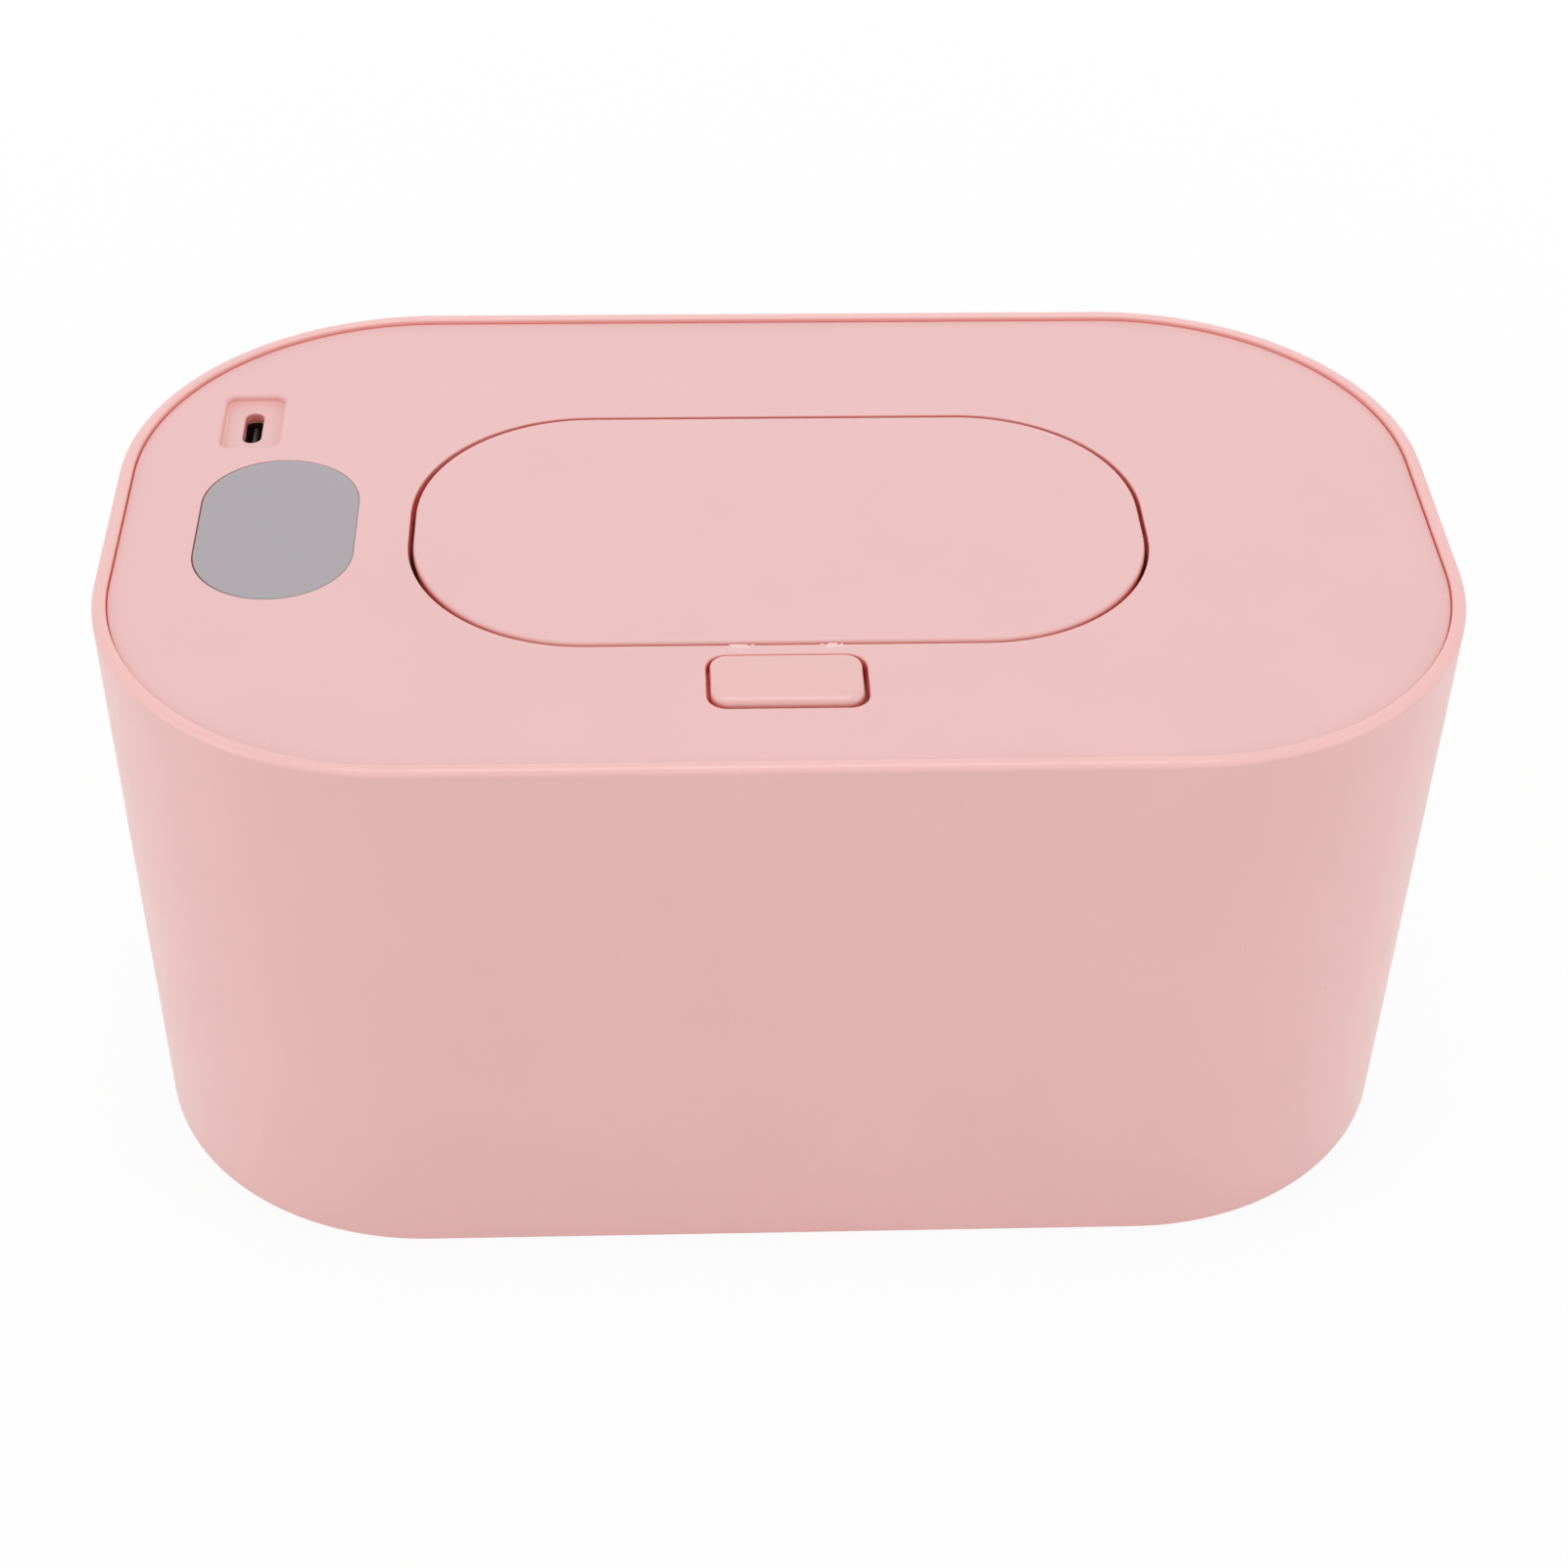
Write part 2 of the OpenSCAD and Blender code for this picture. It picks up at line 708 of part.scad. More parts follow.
// Closed underside of the cover, with its throat and the frame round the heater
module lower_cover() {
    throat_w = outlet_w + 2 * well_wall;
    throat_d = outlet_d + 2 * well_wall;
    frame_out = frame_gap + frame_wall;
    low_w = room_w - 2 * shell_fit;
    low_d = room_d - 2 * shell_fit;
    low_r = room_r - shell_fit;
    color(pale_pink) difference() {
        union() {
            block(low_w, low_d, low_r, shell_low, shell_top);
            ring(low_w, low_d, low_r, spigot_wall, shell_top - bite, shell_top + spigot_h);
            translate([0, lid_y, 0])
                block(throat_w, throat_d, throat_d / 2, shell_top - bite, well_low - seat_gap);
            ring(heater_w + 2 * frame_out, heater_d + 2 * frame_out, heater_r + frame_out, frame_wall,
                heater_low + frame_short, shell_low + bite);
            for (p = case_screws) post(p[0], p[1], boss_r, shell_top - bite, shell_top + lower_boss_h);
        }
        translate([0, lid_y, 0])
            block(outlet_w, outlet_d, outlet_d / 2, shell_low - over, well_low + over);
        for (p = case_screws) {
            post(p[0], p[1], screw_r + screw_gap, shell_low - over, shell_top + lower_boss_h + over);
            post(p[0], p[1], head_r + head_gap, shell_low - over, shell_low + head_sink);
        }
        sensor_window(shell_low, shell_top);
    }
}

// Window over the sensor and the fuse
module sensor_window(low, high) {
    translate([sensor_x, sensor_y, 0]) block(sensor_w, sensor_d, sensor_r, low - over, high + over);
}

// Sheet of the heater's outline with the outlet cut through
module heater_sheet(low, high, inset) {
    edge = outlet_edge + inset;
    difference() {
        block(heater_w - 2 * inset, heater_d - 2 * inset, heater_r - inset, low, high);
        translate([0, lid_y, 0])
            block(outlet_w + 2 * edge, outlet_d + 2 * edge, outlet_d / 2 + edge, low - over, high + over);
    }
}

module insulation_pad() {
    color([0.93, 0.93, 0.9]) difference() {
        heater_sheet(pad_low, shell_low, 0.2);
        sensor_window(pad_low, shell_low);
    }
}

module heating_film() {
    color([0.8, 0.5, 0.15]) heater_sheet(film_low, pad_low, 0.6);
}

module heating_plate() {
    color(steel) heater_sheet(heater_low, film_low, 0);
}

// Bead on the film that reads the plate's temperature
module thermistor() {
    bead_y = sensor_y - sensor_d / 2 + sensor_r;
    color(dark) translate([sensor_x - bead_len / 2 - 0.5, bead_y, pad_low + bead_r]) rotate([0, 90, 0])
        cylinder(r = bead_r, h = bead_len, $fn = round_fn);
}

// One-shot fuse that lies on the film beside the bead
module thermal_fuse() {
    fuse_y = sensor_y + sensor_d / 2 - sensor_r - 0.5;
    whole = fuse_len + 2 * fuse_wire;
    color([0.9, 0.88, 0.8]) translate([sensor_x - 0.5, fuse_y, pad_low + fuse_r]) rotate([0, 90, 0]) {
        cylinder(r = fuse_r, h = fuse_len, center = true, $fn = round_fn);
        cylinder(r = fuse_wire_r, h = whole, center = true, $fn = round_fn);
    }
}

// Point on a smooth curve through a list of points
function bend(a, b, c, d, t) = 0.5 * (2 * b + (c - a) * t + (2 * a - 5 * b + 4 * c - d) * t * t
    + (3 * b - 3 * c + d - a) * t * t * t);
function smooth(p, n) = concat([for (i = [0 : len(p) - 2]) for (k = [0 : n - 1])
    bend(p[max(i - 1, 0)], p[i], p[i + 1], p[min(i + 2, len(p) - 1)], k / n)], [p[len(p) - 1]]);

// Pair of leads from the film up to the board
module heater_leads() {
    for (s = [-1, 1]) {
        start = [sensor_x + 4.2, sensor_y + s * 0.9 - 0.2, pad_low];
        rise = board_low - pad_low;
        end = start + [-1.8, s * 1.2, rise];
        route = smooth([start + [0, 0, 1], start + [0, 0, 2.2], start + [0.4, s * 0.6, rise * 0.45],
            end - [0, 0, rise * 0.2], end - [0, 0, 1]], 3);
        path = concat([start, start + [0, 0, 0.5]], route, [end - [0, 0, 0.5], end]);
        color(s < 0 ? "firebrick" : dark) tube(path, lead_r, 8, [1, 0, 0]);
    }
}

module control_board() {
    color([0.1, 0.35, 0.2]) translate([0, 0, board_low]) linear_extrude(board_t) difference() {
        polygon([[board_left + board_corner, board_front], [board_right, board_front],
            [board_right, board_back], [board_left + board_corner, board_back],
            [board_left, board_back - board_corner], [board_left, board_front + board_corner]]);
        for (p = board_posts) translate(p) circle(r = small_r + screw_gap, $fn = round_fn);
    }
}

// Controller and power switch on the board, and a coil and capacitors under it
module board_parts() {
    side = board_right - part_edge;
    color(dark) {
        span([side - chip_w, board_back - chip_back, board_z],
            [side, board_back - chip_back + chip_w, board_z + chip_h]);
        span([side - power_w, board_back - power_back, board_z],
            [side, board_back - power_back + power_d, board_z + power_h]);
        translate([board_left + left_edge, board_front + coil_front, 0])
            block(coil_w, coil_w, 1, board_low - coil_h, board_low);
    }
    color(steel) post(board_left + left_edge, board_front + can_front, can_r, board_low - can_h, board_low);
    color([0.8, 0.72, 0.5]) for (i = [0 : cap_count - 1])
        translate([board_left + cap_left + i * cap_pitch, board_front + cap_front, board_low - cap_h])
            cube([cap_w, cap_d, cap_h]);
}

module charging_socket() {
    color(steel) translate([socket_x, port_y, 0]) difference() {
        block(socket_w, socket_d, socket_w / 2, board_z, socket_top);
        block(mouth_w, mouth_d, socket_w / 2, board_z + socket_base, socket_top + over);
    }
}

module socket_tongue() {
    low = board_z + socket_base;
    color(dark) translate([socket_x, port_y, 0]) {
        block(tongue_thick, tongue_long, 0.3, low, socket_top - 0.6);
        block(tongue_thick + 0.9, tongue_long + 0.4, 0.5, low, low + socket_base);
    }
}

// Block of lit digits behind the display window
module digit_display() {
    color([0.9, 0.9, 0.88]) translate([lens_x, lens_y + digit_back, 0])
        block(digit_w, digit_d, 1.5, board_z, under_z - 0.4);
}

// Dark frame that keeps the light of the digits off the case
module light_frame() {
    color(dark) translate([lens_x, lens_y, 0])
        ring(frame_w - 0.4, frame_d - 0.4, frame_w / 2 - 0.2, light_wall, board_z, lens_low);
}

// Spring that carries the touch of a finger from the window to the board
module touch_spring() {
    room = 1;
    end = frame_d / 2 - light_wall - room - crown_spring_r;
    color(steel) translate([lens_x, lens_y - end, board_z])
        compression_spring(crown_spring_r, crown_wire, 5, lens_low - board_z);
}

module display_window() {
    color(grey) translate([lens_x, lens_y, 0])
        block(display_w, display_d, display_w / 2, lens_low, plate_z);
}

// Screws from below through the lower cover into the bosses
module cover_screws() {
    color(steel) screws(case_screws, screw_r - 0.1, head_r, head_h, shell_low + head_sink, screw_len);
}

module tray_screws() {
    color(steel) screws(tray_screws, small_r, small_head_r, small_head_h, tab_top - tab_t, small_len);
}

module board_screws() {
    color(steel) screws(board_posts, small_r, small_head_r, small_head_h, board_low, small_len);
}

module bracket_screws() {
    seat = bracket_z - bracket_t;
    color(steel) screws(bracket_posts, small_r, small_head_r, small_head_h, seat, small_len);
}

// Soft ring under the lid that closes on the collar
module outlet_seal() {
    color([0.97, 0.95, 0.94]) translate([0, lid_y, 0])
        ring(collar_w, collar_d, collar_d / 2, collar_wall, lid_low - seal_t, lid_low);
}

module hinge_pin() {
    color(steel) translate([-pin_len / 2, pin_y, pin_z]) rotate([0, 90, 0])
        cylinder(r = pin_r, h = pin_len, $fn = round_fn);
}

// Wound part of a lid spring about the pin's axis, from the top round the front to the bottom
function lid_turn_points(r, pitch, first) = [for (i = [0 : (lid_turns + 0.5) * turn_rings])
    let (a = 90 + 360 * i / turn_rings)
    [first + pitch * i / turn_rings, r * cos(a), r * sin(a)]];

// Torsion springs on the pin, each with a leg on the pocket wall and a leg behind an arm
module lid_springs() {
    wire = lid_wire;
    r = pin_r + turn_gap + wire / 2;
    pitch = wire + turn_gap;
    first = inner_ear_x + ear_t / 2 + wire_gap + wire / 2;
    last = first + (lid_turns + 0.5) * pitch;
    hold = leg_back + wire / 2 + wire_gap;
    wall_leg = [[first, pocket_back - pin_y - wire_gap, r - wire / 2], [first, seat_leg, r]];
    turns = lid_turn_points(r, pitch, first);
    down = [for (fall = leg_falls) -r - fall];
    arm_leg = [[last, hold * 0.6, down[0]], [last, hold, down[1]], [last, hold, down[2]],
        [last + leg_steps[0], hold, down[3]], [last + leg_steps[1], hold, down[4]],
        [arm_x + arm_w / 6, hold, down[5]]];
    echo("least gap of a lid spring to itself, in mm", self_gap(turns, wire));
    for (s = [0, 1]) mirror([s, 0, 0]) color(steel) translate([0, pin_y, pin_z])
        tube(concat(wall_leg, turns, arm_leg), wire / 2, wire_fn, [1, 0, 0]);
}

// Curved arm that carries the lid round the plate's lip, with its barrel on the pin
module lid_arm(x) {
    across(x, arm_w) translate([pin_y, pin_z]) difference() {
        union() {
            circle(r = barrel_r, $fn = round_fn);
            translate([-leg_front, -arm_out]) square([leg_front + leg_back, arm_out]);
            intersection() {
                difference() {
                    circle(r = arm_out, $fn = big_fn);
                    circle(r = arm_in, $fn = big_fn);
                }
                translate([-arm_out - 1, -arm_out - 1]) square([arm_out + 1, arm_out + 1]);
            }
            translate([-arm_out, 0]) square([arm_t, pin_drop - lid_t + 0.1]);
        }
        circle(r = pin_hole, $fn = round_fn);
    }
}

// Flip lid with its catch and its curved hinge arms
module flip_lid() {
    catch_half = tongue_w / 2 + catch_side;
    window_half = tongue_w / 2 + screw_gap + 0.2;
    color(pink) {
        translate([0, lid_y, 0]) hull() {
            block(lid_w - 2 * lid_round, lid_d - 2 * lid_round, lid_r - lid_round, plate_z - sliver, plate_z);
            block(lid_w - 0.6 * lid_round, lid_d - 0.6 * lid_round, lid_r - 0.3 * lid_round,
                plate_z - 0.3 * lid_round - sliver, plate_z - 0.3 * lid_round);
            block(lid_w, lid_d, lid_r, plate_z - lid_round - sliver, plate_z - lid_round);
            block(lid_w - 2 * lid_lean, lid_d - 2 * lid_lean, lid_r - lid_lean, lid_low, lid_low + sliver);
        }
        difference() {
            span([-catch_half, catch_y, catch_low], [catch_half, catch_y + catch_t, lid_low + bite]);
            span([-window_half, catch_y - over, tongue_z - 0.2],
                [window_half, catch_y + catch_t + over, lid_low - 2]);
        }
        lid_arm(arm_x);
        lid_arm(-arm_x);
    }
}

// Hollow button with a flange that stops it under the plate and two ramped legs
module release_button() {
    low = flange_top - flange_t;
    crown_low = button_top - crown_t;
    back = leg_y - button_y + leg_len / 2;
    front = back - leg_len;
    color(pink) translate([0, button_y, 0]) {
        difference() {
            union() {
                block(button_w, button_d, button_r, low, button_top);
                span([-button_w / 2 - flange_out, flange_inset - button_d / 2, low],
                    [button_w / 2 + flange_out, button_d / 2 - flange_inset, flange_top]);
            }
            block(button_w - 2 * button_wall, button_d - 2 * button_wall, button_r - 1, low - over,
                crown_low);
        }
        for (s = [-1, 1]) across(s * leg_x, leg_w)
            polygon([[back, crown_low + bite], [back, leg_low], [front + press, leg_low],
                [front, leg_low + press], [front, crown_low + bite]]);
    }
}

// Spring between the bracket and the button's crown, through the slot of the latch
module button_spring() {
    color(steel) translate([0, button_y, bracket_z])
        compression_spring(crown_spring_r, crown_wire, 7, button_top - crown_t - bracket_z);
}

// Latch with a ramped nose at the lid, and wings that the button's legs push forward
module latch_slider() {
    top = tongue_z + tongue_t;
    ramp_y = leg_y - leg_len / 2 + press - ramp_gap;
    wing_w = wing_x - tongue_w / 2 + bite;
    color([0.95, 0.95, 0.93]) difference() {
        union() {
            across(0, tongue_w) polygon([[latch_front, tongue_z], [nose_y, tongue_z],
                [nose_y, tongue_z + nose_lip], [nose_y - tongue_t + nose_lip, top], [latch_front, top]]);
            for (s = [-1, 1]) across(s * (wing_x - wing_w / 2), wing_w)
                polygon([[latch_front, wing_low], [ramp_y + leg_low - wing_low, wing_low],
                    [ramp_y + leg_low - wing_top, wing_top], [latch_front, wing_top]]);
        }
        translate([0, button_y + press / 2, 0])
            block(spring_slot, spring_slot + press, spring_slot / 2, wing_low - over, top + over);
    }
}

module latch_spring() {
    color(steel) translate([0, spring_wall_y, tongue_z + tongue_t / 2]) rotate([-90, 0, 0])
        compression_spring(latch_spring_r, latch_wire, 4, latch_room);
}

// Bracket that guides the latch, seats both springs and screws up to the plate's bosses
module latch_bracket() {
    inner = wing_x + bracket_gap;
    outer = inner + bracket_wall;
    low = bracket_z - bracket_t;
    front = spring_wall_y - bracket_wall;
    back = well_front - well_wall - bracket_gap;
    color(pale_pink) difference() {
        union() {
            span([-outer, front, low], [outer, back, bracket_z]);
            for (s = [-1, 1]) {
                x = s > 0 ? inner : -outer;
                span([x, front, bracket_z - bite], [x + bracket_wall, back, wing_top]);
                arm_low = s > 0 ? inner : -bracket_screw_x;
                span([arm_low, button_y - boss_r, low],
                    [arm_low + bracket_screw_x - inner, button_y + boss_r, bracket_z]);
            }
            for (p = bracket_posts) post(p[0], p[1], boss_r, low, bracket_z);
            span([-outer, front, bracket_z - bite], [outer, spring_wall_y, tongue_z + tongue_t + 0.6]);
        }
        for (p = bracket_posts) post(p[0], p[1], small_r + screw_gap, low - over, bracket_z + over);
    }
}

tub();
rubber_feet();
top_cover();
well_tray();
lower_cover();
insulation_pad();
heating_film();
heating_plate();
thermistor();
thermal_fuse();
heater_leads();
control_board();
board_parts();
charging_socket();
socket_tongue();
digit_display();
light_frame();
touch_spring();
display_window();
cover_screws();
tray_screws();
board_screws();
outlet_seal();
hinge_pin();
lid_springs();
flip_lid();
release_button();
button_spring();
latch_slider();
latch_spring();
latch_bracket();
bracket_screws();
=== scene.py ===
import math

import bmesh
import bpy
from mathutils import Matrix, Vector
from mathutils.geometry import delaunay_2d_cdt


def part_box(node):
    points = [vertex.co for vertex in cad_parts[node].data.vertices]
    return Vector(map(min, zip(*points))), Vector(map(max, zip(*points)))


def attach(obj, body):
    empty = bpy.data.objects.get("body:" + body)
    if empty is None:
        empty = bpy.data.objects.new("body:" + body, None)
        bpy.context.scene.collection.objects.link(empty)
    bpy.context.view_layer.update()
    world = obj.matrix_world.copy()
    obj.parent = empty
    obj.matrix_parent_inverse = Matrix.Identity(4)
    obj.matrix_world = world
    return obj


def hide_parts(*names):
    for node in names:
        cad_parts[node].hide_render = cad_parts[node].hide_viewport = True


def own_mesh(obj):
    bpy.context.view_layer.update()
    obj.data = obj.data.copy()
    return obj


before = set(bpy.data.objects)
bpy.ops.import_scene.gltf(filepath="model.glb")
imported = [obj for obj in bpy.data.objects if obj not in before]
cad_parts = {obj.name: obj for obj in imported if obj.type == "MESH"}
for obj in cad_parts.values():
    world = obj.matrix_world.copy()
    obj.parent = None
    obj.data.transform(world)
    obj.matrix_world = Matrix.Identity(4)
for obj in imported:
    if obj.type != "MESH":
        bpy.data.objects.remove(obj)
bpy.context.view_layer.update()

# Sizes are in millimetres and are turned into metres where a mesh is made
MM = 0.001

# Steps round a quarter of an outline, and over a rounded edge
STEPS = 32
FINE = 6

# The tub, whose walls lean in by DRAFT from the rim down to the bottom
TUB_LOW, TUB_HIGH = (Vector(corner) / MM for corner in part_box("tub"))
BODY_W = TUB_HIGH.x - TUB_LOW.x
BODY_D = TUB_HIGH.y - TUB_LOW.y
RIM_Z = TUB_HIGH.z
TUB_Z = TUB_LOW.z
BODY_R = 45.8
DRAFT = 2.2
WALL = 1.9
FLOOR = 2.4
FLOOR_ROUND = 2.0
BOTTOM_ROUND = 0.4
RIM_ROUND = 1.1
RIM_INNER_ROUND = 0.4
RIM_IN = 0.2
WALL_RINGS = 10

# The cover's flat plate and the skirt under it
COVER_LOW, COVER_HIGH = (Vector(corner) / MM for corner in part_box("top_cover"))
PLATE_W = COVER_HIGH.x - COVER_LOW.x
PLATE_D = COVER_HIGH.y - COVER_LOW.y
PLATE_R = 43.6
PLATE_Z = COVER_HIGH.z
SKIN = 1.4
SKIRT_Z = COVER_LOW.z
PLATE_ROUND = 0.18

# The lid; the gap round it is wider by LID_EASE on the left and in front
LID_LOW, LID_HIGH = (Vector(corner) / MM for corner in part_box("flip_lid"))
LID_W = LID_HIGH.x - LID_LOW.x
LID_D = 59.7
LID_Y = LID_LOW.y + LID_D / 2
LID_R = 26.0
LID_T = 1.8
LID_GAP = 0.5
LID_LEAN = 0.25
LID_BACK = 0.2
LID_EASE = 0.15
LID_MOUTH_ROUND = 0.25
SEAL_W = 2

# The display window
LENS_LOW, LENS_HIGH = (Vector(corner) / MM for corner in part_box("display_window"))
LENS_W = LENS_HIGH.x - LENS_LOW.x
LENS_D = LENS_HIGH.y - LENS_LOW.y
LENS_X = (LENS_HIGH.x + LENS_LOW.x) / 2
LENS_Y = (LENS_HIGH.y + LENS_LOW.y) / 2
LENS_GAP = 0.05
LENS_MOUTH_ROUND = 0.06

# The button's cap and the opening round it, both a little left of the middle
BUTTON_LOW, BUTTON_HIGH = (Vector(corner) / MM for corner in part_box("release_button"))
BUTTON_Y = (BUTTON_HIGH.y + BUTTON_LOW.y) / 2
BUTTON_D = BUTTON_HIGH.y - BUTTON_LOW.y
BUTTON_TOP = BUTTON_HIGH.z
BUTTON_R = 2.6
BUTTON_GAP = 0.4
BUTTON_X = -0.38
CAP_W = 21.75
CAP_D = 11.2
MOUTH_X = -0.3
MOUTH_W = 22.8
MOUTH_BACK = 0.1
MOUTH_ROUND = 0.4

# The charging socket and the recess that it stands in
PORT_LOW, PORT_HIGH = (Vector(corner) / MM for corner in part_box("charging_socket"))
PORT_X = (PORT_HIGH.x + PORT_LOW.x) / 2
PORT_Y = (PORT_HIGH.y + PORT_LOW.y) / 2
PORT_W = PORT_HIGH.x - PORT_LOW.x
PORT_D = PORT_HIGH.y - PORT_LOW.y
PORT_TOP = PORT_HIGH.z
PORT_LOW_Z = PORT_LOW.z
RECESS_W = 9.0
RECESS_D = 15.0
RECESS_H = 1.5
RECESS_FLOOR = 1.4
RECESS_R = 1.6
SOCKET_WALL = 0.3
SLOT_GAP = 0.2

# Worn burrs on the plate's edge in front of the lid: place across, length and reach
BURRS = ((-7.0, 2.4, 0.2), (-4.9, 0.5, 0.12), (4.9, 0.5, 0.12), (6.4, 1.6, 0.26), (7.7, 0.4, 0.14))

# The rubbed band beside them, in metres as its material needs it
RUB_SPAN = (0.0052, 0.0086)
RUB_Y = (LID_LOW.y - LID_GAP - LID_EASE - 0.3) * MM
RUB_FADE = (0.00025, 0.0008)
RUB_SCALE = 1500.0
RUB_TONE = (0.89, 0.68, 0.65)

# How far the painted shade in gaps and grooves reaches, in metres, its colour steps from deep inside to the
# open face, and the painted red glow of the deepest gaps
PAINTED_SHADE_REACH = 0.0025
PAINTED_SHADE_STEPS = ((0.05, (0.8, 0.1, 0.09)), (0.3, (0.95, 0.52, 0.46)), (0.6, (1.0, 0.88, 0.84)),
                (0.85, (1.0, 1.0, 1.0)))
PAINTED_GAP_GLOW = (0.09, 0.006, 0.006)

# Noise scales of moulded surfaces, per metre, and the depths of their relief in metres
MOTTLE_SCALE = 45.0
SPECK_SCALE = 1100.0
SPECK_TONE = 0.72
WORN_SCALE = 160.0
GRAIN_SCALE = 5200.0
GRAIN_DEPTH = 0.00004
WAVE_SCALE = 22.0
WAVE_DEPTH = 0.0004

# The room's light, the distances in metres over which the floor turns plain white, and the
# photograph's width in pixels
WORLD_LEVEL = 0.52
FLOOR_NEAR = 0.14
FLOOR_FAR = 0.5
PHOTO_SIZE = 1601


def lean(z):
    """How far the tub's wall has leaned in at a height."""
    return DRAFT * (RIM_Z - z) / (RIM_Z - TUB_Z)


def outline(width, depth, radius, x=0.0, y=0.0, inset=0.0, steps=STEPS):
    """Points of a round-cornered rectangle, counter-clockwise."""
    half_w = width / 2 - inset
    half_d = depth / 2 - inset
    corner = max(min(radius - inset, half_w - 0.001, half_d - 0.001), 0.02)
    points = []
    for quarter in range(4):
        sign_x = (1, -1, -1, 1)[quarter]
        sign_y = (1, 1, -1, -1)[quarter]
        for step in range(steps + 1):
            angle = math.pi / 2 * (quarter + step / steps)
            points.append((x + sign_x * (half_w - corner) + corner * math.cos(angle),
                           y + sign_y * (half_d - corner) + corner * math.sin(angle)))
    return points


def round_over(radius, top, steps=FINE):
    """Insets and heights of a rounded top edge, from the wall up to the face."""
    return [(radius * (1 - math.cos(angle)), top - radius * (1 - math.sin(angle)))
            for angle in (math.pi / 2 * step / steps for step in range(steps + 1))]


def round_under(radius, low, steps=FINE):
    """Insets and heights of a rounded bottom edge, from the face up to the wall."""
    return [(inset, 2 * low - z) for inset, z in reversed(round_over(radius, low, steps))]


class Form:
    """A mesh in millimetres, built from rings of points."""

    def __init__(self):
        self.points = []
        self.faces = []

    def ring(self, outline_points, z):
        """Adds a level ring and gives its points' numbers."""
        return self.loop((x, y, z) for x, y in outline_points)

    def loop(self, points):
        """Adds points and gives their numbers."""
        start = len(self.points)
        self.points.extend(tuple(point) for point in points)
        return list(range(start, len(self.points)))

    def skin(self, low, high):
        """A band of faces between two rings of as many points."""
        count = len(low)
        for i in range(count):
            j = (i + 1) % count
            self.faces.append((low[i], low[j], high[j], high[i]))

    def sweep(self, profile, width, depth, radius, x=0.0, y=0.0, steps=STEPS):
        """Rings of one outline at the insets and heights of a profile, skinned in turn."""
        return self.join([self.ring(outline(width, depth, radius, x, y, inset, steps), z)
                          for inset, z in profile])

    def join(self, rings):
        """Skins each ring to the next."""
        for low, high in zip(rings, rings[1:]):
            self.skin(low, high)
        return rings

    def cap(self, ring):
        """One face across a ring."""
        self.faces.append(tuple(ring))

    def close(self, rings):
        """Caps the first ring and the last."""
        self.cap(rings[0])
        self.cap(rings[-1])

    def crown(self, ring, rise, steps=8):
        """Closes a ring with rings drawn in to its middle, which rises by a crown."""
        middle = sum((Vector(self.points[i]) for i in ring), Vector()) / len(ring)
        last = ring
        for step in range(1, steps):
            share = 1 - step / steps
            lift = Vector((0, 0, rise * (1 - share * share)))
            points = [middle + (Vector(self.points[i]) - middle) * share + lift for i in ring]
            fresh = self.loop(points)
            self.skin(last, fresh)
            last = fresh
        tip = self.loop([middle + Vector((0, 0, rise))])[0]
        for i in range(len(last)):
            self.faces.append((last[i], last[(i + 1) % len(last)], tip))

    def flat(self, outer, holes):
        """Fills the flat between an outer ring and the rings of its holes."""
        rings = [outer] + holes
        flat_points = []
        edges = []
        source = []
        for ring in rings:
            start = len(flat_points)
            flat_points.extend(Vector(self.points[i][:2]) for i in ring)
            source.extend(ring)
            edges.extend((start + k, start + (k + 1) % len(ring)) for k in range(len(ring)))
        found = delaunay_2d_cdt(flat_points, edges, [], 0, 1e-7)
        vertices, faces, origins = found[0], found[2], found[3]
        hole_shapes = [[Vector(self.points[i][:2]) for i in ring] for ring in holes]
        for face in faces:
            centre = sum((vertices[i] for i in face), Vector((0, 0))) / len(face)
            if any(inside(centre, shape) for shape in hole_shapes):
                continue
            self.faces.append(tuple(source[origins[i][0]] for i in face))


def inside(point, shape):
    """Whether a point lies in a closed outline."""
    hit = False
    for a, b in zip(shape, shape[1:] + shape[:1]):
        if (a.y > point.y) != (b.y > point.y):
            if point.x < (b.x - a.x) * (point.y - a.y) / (b.y - a.y) + a.x:
                hit = not hit
    return hit


# Edges that turn by more than this stay sharp
SHARP = math.radians(38)


def finish_mesh(mesh, sharp=SHARP):
    """Merges doubles, turns faces outwards and marks the sharp edges."""
    work = bmesh.new()
    work.from_mesh(mesh)
    bmesh.ops.remove_doubles(work, verts=work.verts, dist=1e-6)
    bmesh.ops.dissolve_degenerate(work, edges=work.edges, dist=1e-7)
    bmesh.ops.recalc_face_normals(work, faces=work.faces)
    for face in work.faces:
        face.smooth = True
    for edge in work.edges:
        edge.smooth = not (len(edge.link_faces) == 2 and edge.calc_face_angle(0.0) > sharp)
    work.to_mesh(mesh)
    work.free()


def place(obj, material, body, replaces=()):
    """Gives a piece its material, its body and the node that it stands for."""
    obj.data.materials.clear()
    obj.data.materials.append(material)
    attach(obj, body)
    if replaces:
        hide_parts(*replaces)
    return obj


def weigh(obj):
    """Lets large flat faces keep their own shading beside rounded edges."""
    weighted = obj.modifiers.new("weighted", "WEIGHTED_NORMAL")
    weighted.keep_sharp = True
    weighted.weight = 60


def piece(name, form, material, body, replaces=(), sharp=SHARP):
    """An object made from a form, placed on its body."""
    mesh = bpy.data.meshes.new(name)
    mesh.from_pydata([(x * MM, y * MM, z * MM) for x, y, z in form.points], [], form.faces)
    finish_mesh(mesh, sharp)
    obj = bpy.data.objects.new(name, mesh)
    bpy.context.scene.collection.objects.link(obj)
    place(obj, material, body, replaces)
    weigh(obj)
    return obj


